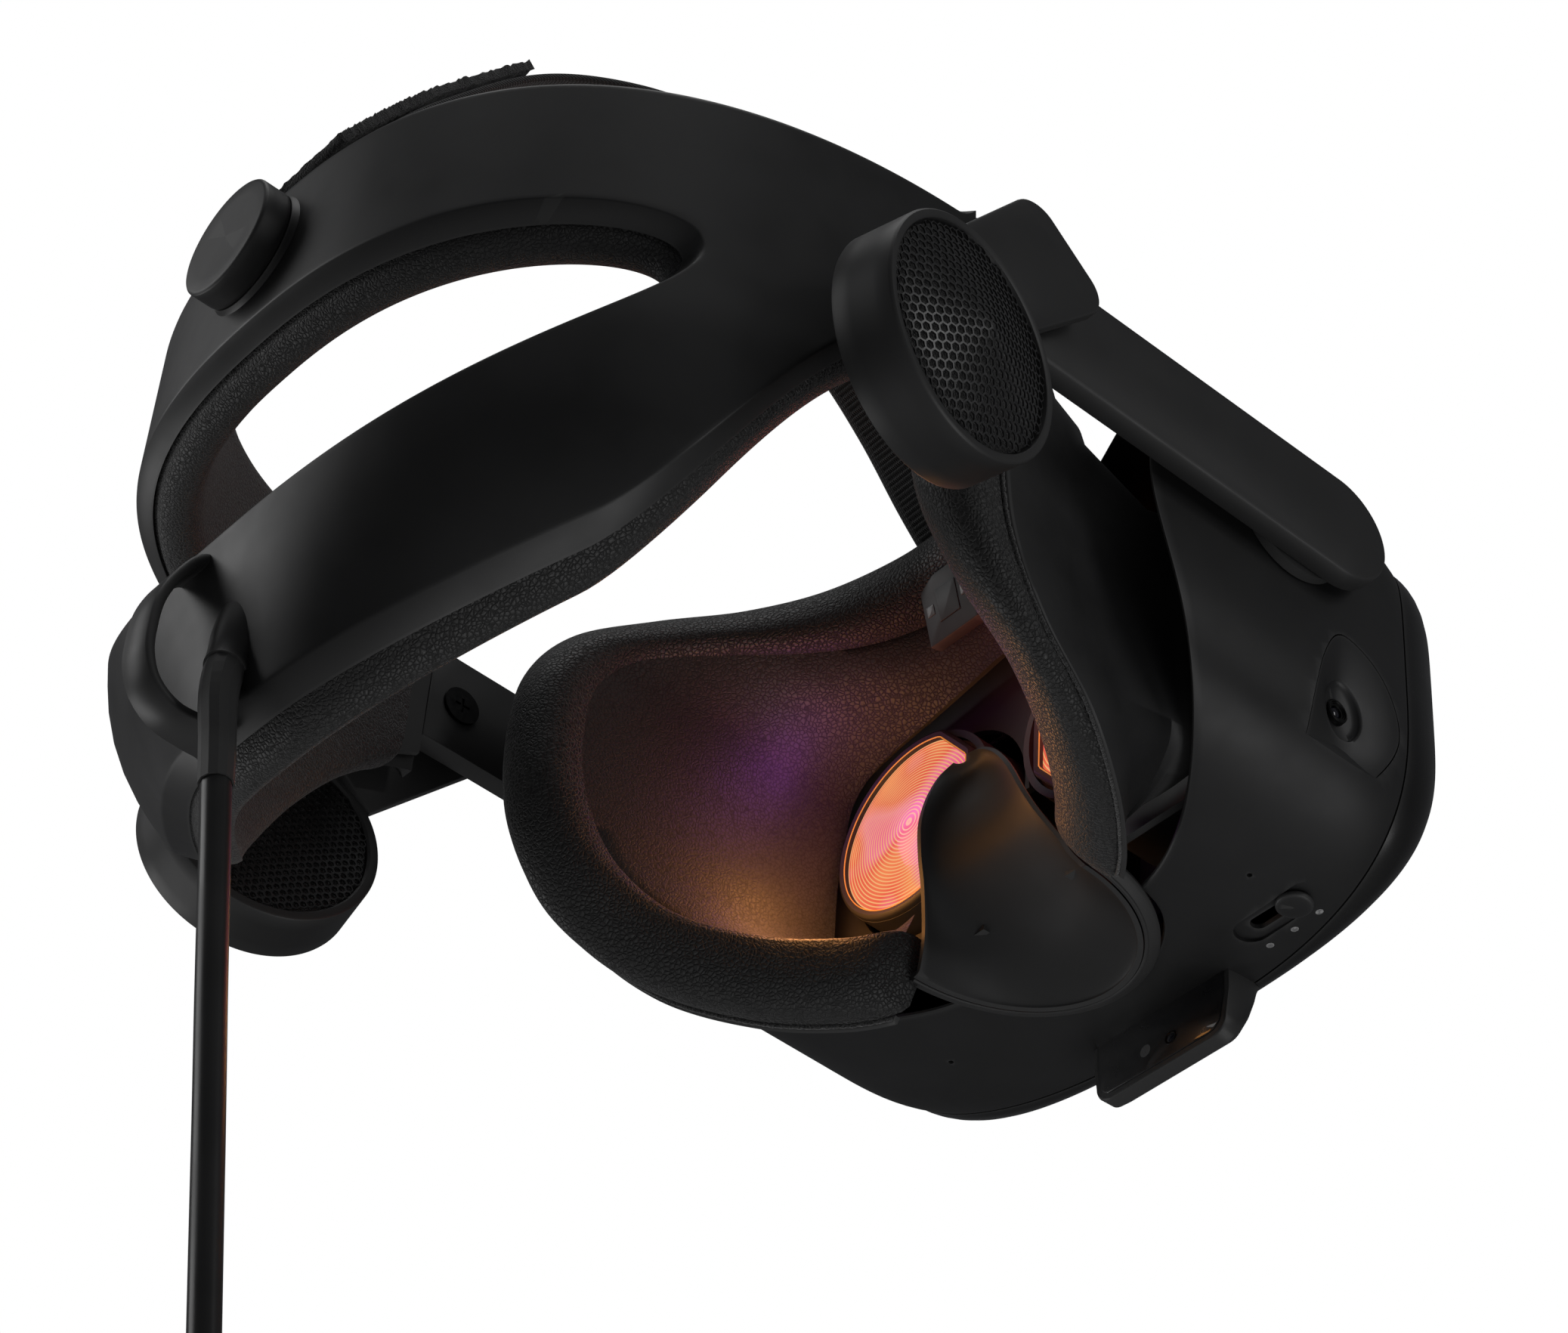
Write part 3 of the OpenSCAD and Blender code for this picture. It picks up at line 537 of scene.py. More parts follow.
def outer_line(phi, inset, end=90):
    """The halo's outer rim, moved inwards by some millimetres."""
    turn = (phi + math.pi) % (2 * math.pi) - math.pi
    side = 1 if abs(turn) < math.pi / 2 else -1
    off = turn if side > 0 else math.copysign(math.pi - abs(turn), turn)
    if abs(off) < END:
        t = side * end
        z = mix(rim_low(t) + inset, rim_top(t) - inset, 0.5 + 0.5 * off / END)
        return t, z - opening_mid(t)
    u = (abs(turn) - END) / (math.pi - 2 * END)
    t = end * math.cos(u * math.pi)
    z = rim_top(t) - inset if turn > 0 else rim_low(t) + inset
    return t, z - opening_mid(t)


def halo_section(phi, rows, end=90):
    """Points of one section across the band. A row is (share, distance from the nearer rim, depth)."""
    out = []
    for share, rim, depth in rows:
        if share == 0:
            t, z = inner_line(phi, rim)
        elif share == 1:
            t, z = outer_line(phi, rim, end)
        else:
            t0, z0 = inner_line(phi, RIM_BEVEL)
            t1, z1 = outer_line(phi, RIM_BEVEL, end)
            t, z = mix(t0, t1, share), mix(z0, z1, share)
        out.append(halo_point(t, z + opening_mid(t), depth))
    return out


def end_fade(phi):
    """0 at the arm seams and 1 along the free rims."""
    turn = (phi + math.pi) % (2 * math.pi) - math.pi
    off = min(abs(turn), math.pi - abs(turn))
    return ease((off - END) / math.radians(8)) if off > END else 0.0


SHARES = [0.03, 0.12, 0.25, 0.4, 0.55, 0.7, 0.82, 0.93, 0.98]
PHIS = np.linspace(0, 2 * math.pi, 420, endpoint=False)


def make_halo():
    rings = []
    for phi in PHIS:
        f = end_fade(phi)
        front = [(0, 0, 4.1), (0, 0.25, 3.6), (0, 3.9, 0.16), (0, 4.15, 0.04), (0, 4.6, 0)]
        front += [(s, 0, 0) for s in SHARES]
        front += [(1, mix(0.8, 4.6, f), 0), (1, mix(0.4, 4.1, f), mix(0.02, 0.06, f)),
            (1, mix(0.2, 3.7, f), mix(0.1, 0.28, f)), (1, mix(0.05, 0.3, f), mix(0.4, 3.55, f)),
            (1, 0, 4.1)]
        back = [(s, 0, 4.2) for s in SHARES[::-1]]
        rings.append(halo_section(phi, front + back))
    piece("halo_shell", *grid(rings, closed_rings=True), SHELL, "headband",
          ("halo_upper_shell", "halo_lower_shell"), "shell_black", sharp=30)


def make_halo_pad():
    rings = []
    for phi in PHIS:
        f = end_fade(phi)
        e = mix(0.6, 1, f)
        side = [(0, 0.9, 4.3), (0, 0.5, 4.9), (0, -1.2, 5.3), (0, -2.7, 6.6), (0, -3.5, 8.8),
            (0, -3.5, 11.2), (0, -2.4, 13.0), (0, -0.2, 13.9), (0, 3, 14.5)]
        mid = [(s, 0, 14.6 + 0.7 * math.sin(math.pi * s)) for s in SHARES]
        far = [(1, 3, 14.5), (1, -0.2 * e, 13.9), (1, -2.4 * e, 13.0), (1, -3.5 * e, 11.2),
            (1, -3.5 * e, 8.8), (1, -2.7 * e, 6.6), (1, -1.2 * e, 5.3), (1, 0.5, 4.9), (1, 0.9, 4.3)]
        back = [(s, 0, 4.4) for s in SHARES[::-1]]
        rings.append(halo_section(phi, side + mid + far + back, end=87))
    pad = piece("halo_pad", *grid(rings, closed_rings=True), LEATHER, "headband",
                ("halo_upper_pad", "halo_lower_pad"), "leather_black", sharp=60)


make_halo()
make_halo_pad()


# ---- Dial ----
KNOB_R, KNOB_H = 15, 7
DIAL_Y, DIAL_Z = 131, -11


def dial_place(x, y, z):
    return vec(x, DIAL_Y + z, DIAL_Z + y)


def make_boss():
    profile = [(18, -5), (16.2, -1.5), (15.4, 0), (15.1, 0.8), (15.0, 1.25), (4, 1.25), (4, -4)]
    piece("dial_seat", *lathe(profile, dial_place), SHELL, "headband", ("dial_boss",), "shell_black")


def make_knob():
    top = KNOB_H + 1.28
    profile = [(3.2, 1.3), (KNOB_R - 0.7, 1.3), (KNOB_R - 0.3, 1.45), (KNOB_R - 0.1, 1.7)]
    profile += [(KNOB_R, z) for z in (2.5, 4, 6, top - 0.78)]
    profile += [(KNOB_R - 0.07, top - 0.48), (KNOB_R - 0.3, top - 0.23), (KNOB_R - 0.6, top - 0.08)]
    profile += [(KNOB_R - 1, top), (11, top - 0.04), (6, top - 0.08), (0.01, top - 0.1)]
    piece("dial_cap", *lathe(profile, dial_place, 160), KNOB, "dial", ("dial_knob",), "shell_black")


make_boss()
make_knob()


# ---- Cable loop and gland ----
LOOP = [(6, 121, -99), (6, 127.5, -101), (6, 132, -108), (6, 134.8, -116), (6, 135.4, -124),
    (6, 134.8, -131), (6, 132, -137), (6, 126.5, -140.6), (6, 119.5, -140.8), (6, 114, -139.6)]


def ribbon_rings(path, half, thick, bevel):
    """Sections of a flat band with softened edges, along a path near the plane of x = 0."""
    last = len(path) - 1
    rings = []
    for i, p in enumerate(path):
        d = unit(path[min(i + 1, last)] - path[max(i - 1, 0)])
        n = vec(0, -d[2], d[1])
        w = half(i / last) if callable(half) else half
        t = thick / 2
        outline = [(w, t - bevel), (w - bevel, t), (-w + bevel, t), (-w, t - bevel),
                   (-w, -t + bevel), (-w + bevel, -t), (w - bevel, -t), (w, -t + bevel)]
        rings.append([p + vec(a, 0, 0) + n * b for a, b in outline])
    return rings


def make_loop():
    path = curve(LOOP, 8)
    rings = ribbon_rings(path, lambda u: 4.6 + 2.2 * (2 * u - 1) ** 4, 2.4, 0.5)
    piece("cable_guard", *grid(rings, caps=True), SHELL, "headband", ("cable_loop",), "shell_black",
        sharp=50)


def make_gland():
    path = curve([(-4, 112.5, -112), (-4, 115.5, -117), (-4, 117.8, -122), (-4, 119.4, -127),
        (-4.2, 120.6, -131)], 5)
    radii = [mix(9, 4.7, ease(i / (len(path) - 1))) for i in range(len(path))]
    piece("cable_exit", *grid(tube_rings(path, radii, 40), caps=True), SHELL, "headband", ("cable_gland",),
        "shell_black", sharp=50)


make_loop()
make_gland()


# ---- Top strap ----
STRAP_HALF, STRAP_THICK = 18.5, 2.6
REAR = [(0, 124.6, 4.2), (0, 123.4, 12), (0, 115, 29), (0, 100, 52), (0, 75, 82), (0, 46, 102),
    (0, 20, 111), (0, -4, 112.4)]
FRONT = [(0, -4.6, 112.4), (0, -24, 107), (0, -44, 95), (0, -60, 81), (0, -74, 65), (0, -85, 54),
    (0, -96, 44), (0, -106, 38.5)]
LAP = [(0, 125.4, 18), (0, 117.8, 31), (0, 102.6, 54), (0, 79, 83.6)]


def ribbed(points, half, thick, rib=1.5, height=0.28):
    """A woven band with raised ribs across it and a plain selvedge along each side."""
    line = curve(points, 24)
    length = sum(np.linalg.norm(np.diff(np.array(line), axis=0), axis=1))
    path = even(line, int(length / rib * 4), closed=False)
    last = len(path) - 1
    rings = []
    for i, p in enumerate(path):
        d = unit(path[min(i + 1, last)] - path[max(i - 1, 0)])
        n = vec(0, -d[2], d[1])
        lift = height * math.sin(i * math.pi / 2)
        t = thick / 2 - height
        across = [(-half, 0.55 * t), (-half + 0.8, t), (-half + 2.2, t), (-half + 2.6, t + lift),
            (-half * 0.5, t + lift), (0, t + lift)]
        across += [(-a, b) for a, b in across[-2::-1]]
        section = across + [(a, -b) for a, b in across[::-1]]
        rings.append([p + vec(a, 0, 0) + n * b for a, b in section])
    return grid(rings, caps=True)


def make_strap():
    rear = piece("strap_back_half", *ribbed(REAR, STRAP_HALF, STRAP_THICK), STRAP, None, ("strap_rear",),
        "strap_fabric", sharp=80)
    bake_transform(rear)
    front = piece("strap_front_half", *ribbed(FRONT, STRAP_HALF, STRAP_THICK), STRAP, None,
        ("strap_front",), "strap_fabric", sharp=80)
    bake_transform(front)
    lap = curve(LAP, 40)
    seeded = np.random.default_rng(7)
    last = len(lap) - 1
    side, count = STRAP_HALF - 0.5, 24
    rings = []
    for i, p in enumerate(lap):
        d = unit(lap[min(i + 1, last)] - lap[max(i - 1, 0)])
        n = vec(0, -d[2], d[1])
        rough = seeded.uniform(-0.3, 0.3, 2 * count)
        top = [(a, 1.2) for a in np.linspace(side, -side, count)]
        low = [(a, -1.1) for a in np.linspace(-side, side, count)]
        rings.append([p + vec(a + r * 0.6, 0, 0) + n * (b + r) for (a, b), r in zip(top + low, rough)])
    piece("strap_fold", *grid(rings, caps=True), HOOK, "headband", ("strap_lap",), "hook_fabric", sharp=80)


make_strap()


# ---- Arms ----
ARM_INNER, ARM_OUTER, ARM_HALF = 96, 102, 15
ARM_NOSE = -108


def slab(outline, x0, x1, bevel, place):
    """A flat plate with softened edges: outline points are (along, up), from x0 to x1 thick."""
    pts = np.array(outline, float)
    n = len(pts)
    centre = pts.mean(0)
    rings = []
    steps = [(x0, bevel), (x0 + bevel * 0.3, bevel * 0.3), (x0 + bevel, 0), (x1 - bevel, 0),
             (x1 - bevel * 0.3, bevel * 0.3), (x1, bevel)]
    normals = []
    for i in range(n):
        d = unit(pts[(i + 1) % n] - pts[i - 1])
        out = np.array([d[1], -d[0]])
        normals.append(out if out @ (pts[i] - centre) > 0 else -out)
    for x, inset in steps:
        rings.append([place(x, *(p - o * inset)) for p, o in zip(pts, normals)])
    return grid(rings, caps=True)


def arc(cx, cy, r, a0, a1, count):
    return [(cx + r * math.cos(math.radians(a)),
        cy + r * math.sin(math.radians(a))) for a in np.linspace(a0, a1, count)]


def side_place(side):
    return lambda x, y, z: vec(side * x, y, z)


def make_arms():
    outline = [(9.7, -ARM_HALF), (9.7, 0), (9.7, ARM_HALF)]
    outline += [(y, ARM_HALF) for y in np.linspace(0, ARM_NOSE + 4, 14)]
    outline += arc(ARM_NOSE, 0, ARM_HALF, 90, 270, 40)
    outline += [(y, -ARM_HALF) for y in np.linspace(ARM_NOSE + 4, 0, 14)]
    tongue = [(5, -4), (32, -4), (32, 4), (5, 4)]
    for side, word in ((1, "left"), (-1, "right")):
        place = side_place(side)
        shape = joined(slab(outline, ARM_INNER, ARM_OUTER, 0.8, place),
            slab(tongue, 97.4, 98.1, 0.2, place))
        piece("side_arm_" + word, *shape, ARM, "arms", ("arm_" + word,), "shell_black", sharp=30)


make_arms()


# ---- Speakers ----
SPEAKER_X, SPEAKER_REACH = 118, 65
SPEAKER_R, SPEAKER_HALF, MESH_R = 28.5, 7.75, 25.9
PLATE_IN, PLATE_OUT, PLATE_SLOPE = 106.4, 109.8, 50


def speaker_place(side):
    angle = math.radians(35 if side > 0 else 29)
    turn = Matrix.Rotation(math.radians(-11), 3, "Z") @ Matrix.Rotation(math.radians(94), 3, "Y")
    turn = np.array(turn)
    at = vec(SPEAKER_X, SPEAKER_REACH * math.sin(angle), -SPEAKER_REACH * math.cos(angle))

    def place(x, y, z):
        p = turn @ vec(x, y, z) + at
        return vec(side * p[0], p[1], p[2])
    return place


def honeycomb(radius, pitch, wire, thick, height, place):
    """A pierced hexagonal sheet: height(r) lifts it into a dome."""
    cells = {}
    points, faces = [], []
    step = pitch * math.sqrt(3) / 2
    rows = int(radius / step) + 2

    def vertex(x, y, z):
        key = (round(x, 3), round(y, 3), round(z, 3))
        if key not in cells:
            cells[key] = len(points)
            points.append(place(x, y, z))
        return cells[key]

    outer_r = pitch / math.sqrt(3)
    inner_r = outer_r - wire / math.sqrt(3)
    for row in range(-rows, rows + 1):
        for col in range(-rows, rows + 1):
            cx, cy = (col + 0.5 * (row % 2)) * pitch, row * step
            if math.hypot(cx, cy) > radius - pitch * 0.25:
                continue
            ring = []
            for k in range(6):
                a = math.radians(60 * k + 30)
                spots = []
                for r in (outer_r, inner_r):
                    x, y = cx + r * math.cos(a), cy + r * math.sin(a)
                    far = math.hypot(x, y)
                    if far > radius:
                        x, y = x * radius / far, y * radius / far
                    spots.append((x, y))
                ring.append(spots)
            for k in range(6):
                (o0, i0), (o1, i1) = ring[k], ring[(k + 1) % 6]
                top = [vertex(x, y, height(math.hypot(x, y))) for x, y in (o0, o1, i1, i0)]
                low = [vertex(x, y, height(math.hypot(x, y)) - thick) for x, y in (o0, o1, i1, i0)]
                faces.append(tuple(top))
                faces.append(tuple(low[::-1]))
                faces.append((top[3], top[2], low[2], low[3]))
    return points, faces


def cone_height(r):
    """Outer grille: a soft cone with a rounded tip."""
    slope = 1 - min(r, 26) / 26
    cone = math.sqrt(slope ** 2 + 0.02) - math.sqrt(0.02)
    return SPEAKER_HALF - 0.4 + 9.2 * cone * (0.75 + 0.25 * ease(r / 26))


def disc(radius, height, place, rings=14, steps=72):
    """A dished round sheet."""
    angles = np.linspace(0, 2 * math.pi, steps, endpoint=False)
    rows = [[place(r * math.cos(a), r * math.sin(a), height(r)) for a in angles]
            for r in np.linspace(0.05, radius, rings)]
    return grid(rows)


def plate_outline():
    turn = math.radians(180 - PLATE_SLOPE)
    raw = [(-38, y) for y in np.linspace(13, -13, 5)]
    raw += [(x, mix(-13, -15.5, (x + 38) / 50)) for x in (-26, -14, -2)]
    raw += arc(12, -8, 7.5, -90, 0, 14) + arc(12, 8, 7.5, 0, 90, 14)
    raw += [(x, mix(13, 15.5, (x + 38) / 50)) for x in (-2, -14, -26)]
    c, s = math.cos(turn), math.sin(turn)
    return [(x * c - y * s, x * s + y * c) for x, y in raw]


def make_speakers():
    for side, word in ((1, "left"), (-1, "right")):
        body = "speaker_" + word
        place = speaker_place(side)
        piece("speaker_strip_" + word, *slab(plate_outline(), PLATE_IN, PLATE_OUT, 0.7, side_place(side)),
            ARM, body, ("speaker_plate_" + word,), "shell_black", sharp=30)
        ring = [(25.6, -7.2), (26.2, -SPEAKER_HALF), (27.9, -SPEAKER_HALF), (28.3, -7.6)]
        ring += [(SPEAKER_R, z) for z in (-7.2, -3, 3, 7)]
        ring += [(28.35, 7.45), (28.0, SPEAKER_HALF), (26.7, SPEAKER_HALF), (26.3, 7.5), (26.1, 6.8),
            (25.6, 6.2)]
        ring += [(25.6, 0)]
        piece("speaker_ring_" + word, *lathe(ring + ring[:1], place, 160), ARM, body,
              ("speaker_drum_" + word,), "shell_black")
        outer = honeycomb(MESH_R, 2.3, 0.42, 0.35, cone_height, place)
        piece("outer_mesh_" + word, *outer, MESH, body, ("rear_grille_" + word,), "grille_black")
        piece("outer_foam_" + word, *disc(25.7, lambda r: cone_height(r) - 1.5, place), FOAM, body, (),
            "grille_black", sharp=80)
        flat = honeycomb(MESH_R, 2.1, 0.55, 0.4, lambda r: -7.0 - 0.25 * (1 - (r / 26) ** 2), place)
        piece("ear_mesh_" + word, *flat, MESH, body, ("ear_grille_" + word,), "grille_black")
        piece("ear_foam_" + word, *disc(25.7, lambda r: -6.1, place), FOAM, body, (), "grille_black",
            sharp=80)


make_speakers()


# ---- Visor ----
VISOR_HALF_W, VISOR_HALF_H, VISOR_MID, VISOR_POWER = 93, 50.5, -15.5, 4.5
TURN_Y, FRONT_Y, BULGE = -120, -162, 7
VISOR_WALL, COVER_WALL = 2.2, 2


def plan_scale(y):
    if y > TURN_Y:
        return 1.0
    return max(0, 1 - ((TURN_Y - y) / (TURN_Y - FRONT_Y + BULGE)) ** 3) ** (1 / 3)


def front_point(a, inset):
    return (spow(math.cos(a), 2 / VISOR_POWER) * (VISOR_HALF_W - inset),
            VISOR_MID + spow(math.sin(a), 2 / VISOR_POWER) * (VISOR_HALF_H - inset))


def rear_low(x):
    return -113 - 23 * math.sqrt(1 - (x / 30) ** 2) if x < 30 else -113 + 43 * ((x - 29) / 60) ** 1.6


def rear_edge(x, z):
    if z < 0:
        return rear_low(abs(x)) + 12 * ease((z + 60) / 50)
    return mix(-54, -98, max(0, 1 - abs(x) / VISOR_HALF_W) ** 0.8)


def seam_at(x):
    return mix(-141, -160, 1 - abs(x / VISOR_HALF_W) ** 3)


def visor_point(a, u, inset, shift=0.0):
    px, pz = front_point(a, inset)
    y = mix(rear_edge(px, pz), seam_at(px), u) + shift
    s = plan_scale(y)
    return vec(px * s, y, VISOR_MID + (pz - VISOR_MID) * mix(1, s, 0.25))


def side_x(y, z):
    """Half width of the housing at a height and depth."""
    s = plan_scale(y)
    p = abs((z - VISOR_MID) / mix(1, s, 0.25) / VISOR_HALF_H)
    return VISOR_HALF_W * s * max(0, 1 - p ** VISOR_POWER) ** (1 / VISOR_POWER)


def belly_z(x, y):
    """Height of the housing's underside."""
    s = plan_scale(y)
    p = abs(x / s / VISOR_HALF_W)
    return VISOR_MID - VISOR_HALF_H * max(0, 1 - p ** VISOR_POWER) ** (1 / VISOR_POWER) * mix(1, s, 0.25)


def visor_angles(count):
    fine = np.linspace(0, 2 * math.pi, 4000, endpoint=False)
    line = np.array([(*front_point(a, 0), a) for a in fine])
    far = np.concatenate([[0], np.cumsum(np.hypot(*np.diff(line[:, :2], axis=0).T))])
    return np.interp(np.linspace(0, far[-1], count, endpoint=False), far, fine)


ANGLES = visor_angles(360)


def cut(obj, points, faces, sharp=35):
    """Takes a closed shape out of a piece."""
    tool = piece("cut_tool", points, faces, VISOR)
    modifier = obj.modifiers.new("cut", "BOOLEAN")
    modifier.operation, modifier.object, modifier.solver = "DIFFERENCE", tool, "EXACT"
    result = bpy.data.meshes.new_from_object(obj.evaluated_get(bpy.context.evaluated_depsgraph_get()))
    obj.modifiers.clear()
    obj.data = result
    result.polygons.foreach_set("use_smooth", [True] * len(result.polygons))
    result.set_sharp_from_angle(angle=math.radians(sharp))
    bpy.data.objects.remove(tool)


BUTTON_X, BUTTON_Y = -51, -143
EGG = even(curve([(-117, -24), (-110.6, -33), (-108.8, -47), (-113, -58), (-121.5, -63), (-131.5, -56.5),
                  (-137.6, -42), (-130, -29)], 12, closed=True), 96)
EGG_MID = np.array([-122.0, -44.5])
IRIS = even(curve([(-116.5, -36.2), (-113.6, -41), (-115.5, -46.5), (-120, -49.4), (-124.5, -48.6),
    (-126.2, -44.5), (-124.3, -39.4), (-120.4, -36.2)], 12, closed=True), 96)


def capsule(x0, x1, y, r, count=16):
    left, right = min(x0, x1), max(x0, x1)
    return arc(left, y, r, 90, 270, count) + arc(right, y, r, -90, 90, count)


def upright(outline, z0, z1):
    """A closed prism standing on an (x, y) outline."""
    return grid([[vec(x, y, z) for x, y in outline] for z in (z0, z1)], caps=True)


def make_housing():
    rows = [(0, 1.1, 0), (0, 0.45, -0.12), (0, 0.1, -0.5), (0, 0, -1.1)]
    rows += [(u, 0, 0) for u in np.linspace(0.05, 0.985, 26)]
    rows += [(1, 0, 0.25), (1, 0.12, 0.06), (1, 0.5, 0)]
    rows += [(u, VISOR_WALL, 0) for u in (1, 0.8, 0.5, 0.2, 0.03)]
    rings = [[visor_point(a, u, inset, shift) for u, inset, shift in rows] for a in ANGLES]
    shell = piece("visor_shell", *grid(rings, closed_rings=True), VISOR, "visor", ("visor_housing",),
        "shell_black", sharp=30)
    grown = EGG_MID + (EGG - EGG_MID) * 1.012
    for side in (1, -1):
        prism = grid([[vec(side * x, y, z) for y, z in grown] for x in (86, 96)], caps=True)
        cut(shell, *prism, sharp=30)
    cut(shell, *upright(capsule(-37.5, -54.5, BUTTON_Y, 4.6), -70, -64.2), sharp=30)
    cut(shell, *upright(capsule(-39.5, -51.5, BUTTON_Y, 2.1), -65, -60), sharp=30)
    for x in (-51, 51):
        cut(shell, *upright(arc(x, -128, 0.7, 0, 345, 24), -70, -58), sharp=30)


def make_cover():
    shares = (0, 0.05, 0.12, 0.2, 0.3, 0.4, 0.5, 0.6, 0.7, 0.78, 0.85, 0.9, 0.94, 0.97, 0.985, 1)
    rings = []
    for u, inset in [(u, 0) for u in shares] + [(u, COVER_WALL) for u in shares[::-1]]:
        k = 0.04 if u == 1 else (1 - u * u) ** 0.17
        ring = []
        for a in ANGLES:
            x, y, z = visor_point(a, 1, inset)
            ring.append(vec(x * k, mix(y - 0.35, FRONT_Y - BULGE + inset, u),
                VISOR_MID + (z - VISOR_MID) * k))
        rings.append(ring)
    piece("front_shell", *grid(rings, caps=True), COVER, "visor", ("front_cover",), "cover_black")


def make_side_cameras():
    dishes, rings_shape, glass = [], [], []
    for side in (1, -1):
        rings = []
        for s in (1.0, 0.985, 0.95, 0.85, 0.7, 0.5, 0.3, 0.15, 0.05, 0.0):
            ring = []
            for outer, inner in zip(EGG, IRIS):
                y, z = inner + (outer - inner) * s
                depth = 0.05 + 2.4 * (1 - s) ** 1.35 + (0.35 if s == 1.0 else 0)
                ring.append(vec(side * (side_x(y, z) - depth), y, z))
            rings.append(ring)
        eye = np.array([-119.4, -42.8])
        for shrink, drop in ((0.96, 0.5), (0.93, 0.9), (0.7, 1.5), (0.4, 1.9)):
            rings.append([np.array([side * (side_x(*(eye + (p - eye) * shrink)) - 2.45 - drop),
                *(eye + (p - eye) * shrink)]) for p in IRIS])
        dishes.append(grid(rings))
        base = side_x(*eye) - 4.2

        def place(x, y, z, side=side, base=base, eye=eye):
            return vec(side * (base + z), eye[0] + x, eye[1] + y)
        rings_shape.append(lathe([(3.3, -0.6), (3.2, 0.5), (2.9, 0.75), (2.6, 0.7), (2.5, 0.35),
            (2.15, 0.35), (2.1, 0.1), (1.7, 0.05), (1.65, -0.3), (1.6, -0.8)], place, 64))
        glass.append(lathe([(1.62, -0.5), (1.3, -0.18), (0.9, 0.0), (0.45, 0.1), (0.01, 0.14)], place, 48))
    piece("camera_recess", *joined(*dishes), VISOR, "visor", ("side_camera_dishes",), "shell_black",
        sharp=50)
    piece("camera_rings", *joined(*rings_shape), BLACK_STEEL, "visor", (), "camera_glass", sharp=30)
    piece("camera_eyes", *joined(*glass), CAMERA_GLASS, "visor", ("side_camera_lenses",), "camera_glass",
        sharp=60)


def make_button():
    def place(x, y, z):
        return vec(BUTTON_X + x, BUTTON_Y + y, -64.4 - z)
    profile = [(3.4, -2.5), (3.5, 0.2), (4.45, 0.35), (4.6, 0.7), (4.5, 1.3), (4.2, 1.6), (3.6, 1.72),
        (2, 1.84), (0.01, 1.9)]
    piece("spacing_slider", *lathe(profile, place, 72), KNOB, "ipd_button", ("ipd_button",), "button_grey",
        sharp=50)
    dots = []
    for x in (-36, -44, -52):
        def spot(px, py, pz, x=x):
            return vec(x + px, -150.5 + py, belly_z(x + px, -150.5 + py) - 0.02 - pz)
        dots.append(lathe([(0.95, -0.2), (0.95, 0.04), (0.85, 0.07), (0.01, 0.08)], spot, 32))
    piece("spacing_marks", *joined(*dots), GREY_DOT, "visor", (), "mic_metal", sharp=50)


def pod_outline(half, low, r, top=-58.5):
    out = [(-half, top), (half, top), (half, mix(top, low, 0.5))]
    out += arc(half - r - 1, low + r, r, 0, -90, 10)
    out += [(0, low)]
    out += arc(-half + r + 1, low + r, r, -90, -180, 10)
    return out + [(-half, mix(top, low, 0.5))]


def make_pod():
    levels = [(-149.6, 22.5, -81.9, 4.6), (-149.8, 22.9, -82.3, 5), (-150.2, 23, -82.5, 5),
        (-154, 22.9, -82.4, 5), (-156.5, 22.6, -80, 5), (-159, 22.2, -75.2, 4.5),
        (-161.2, 21.6, -69.5, 3.6), (-162.9, 20.8, -64, 2)]
    rings = [[vec(x, y, z) for x, z in pod_outline(half, low, r)] for y, half, low, r in levels]
    piece("camera_pod", *grid(rings, caps=True), VISOR, "visor", ("face_camera_pod",), "shell_black",
        sharp=35)
    pane = [[vec(x, y, z) for x, z in pod_outline(half, low, 4.2, -61.5)]
            for y, half, low in ((-149.7, 21.4, -80.9), (-149.35, 21.4, -80.9), (-149.2, 21.1, -80.6))]
    piece("pod_pane", *grid(pane, caps=True), WINDOW, "visor", ("pod_window",), "window_black")

    def eye(x, y, z):
        return vec(-4 - x, -149.25 + z, -75.6 + y)

    def glow(x, y, z):
        return vec(4.6 - x, -149.3 + z, -75.0 + y)
    piece("pod_eye_ring", *lathe([(1.9, 0), (1.85, 0.2), (1.6, 0.25), (1.35, 0.15), (1.3, 0.02)], eye, 48),
        BLACK_STEEL, "visor", (), "camera_glass")
    piece("pod_eye", *lathe([(1.34, 0.02), (0.9, 0.12), (0.01, 0.18)], eye, 48), CAMERA_GLASS, "visor", (),
        "camera_glass", sharp=60)
    piece("pod_emitter", *lathe([(1.75, 0), (1.7, 0.14), (0.01, 0.16)], glow, 48), PANE, "visor", (),
        "window_black", sharp=60)


NOSE = [(-68.6, 29.6, -96, 38), (-67.3, 28.6, -96, 36.2), (-63, 26, -94.6, 26), (-58, 24, -93, 18.5),
    (-50, 20.5, -89, 8.5), (-44, 18.5, -86, 6.5), (-37, 16.4, -83.6, 6.5), (-32, 13.6, -82.6, 6.5),
    (-28.8, 10.6, -82.2, 6), (-26.8, 7.4, -82, 5), (-26, 3.5, -81.9, 3)]


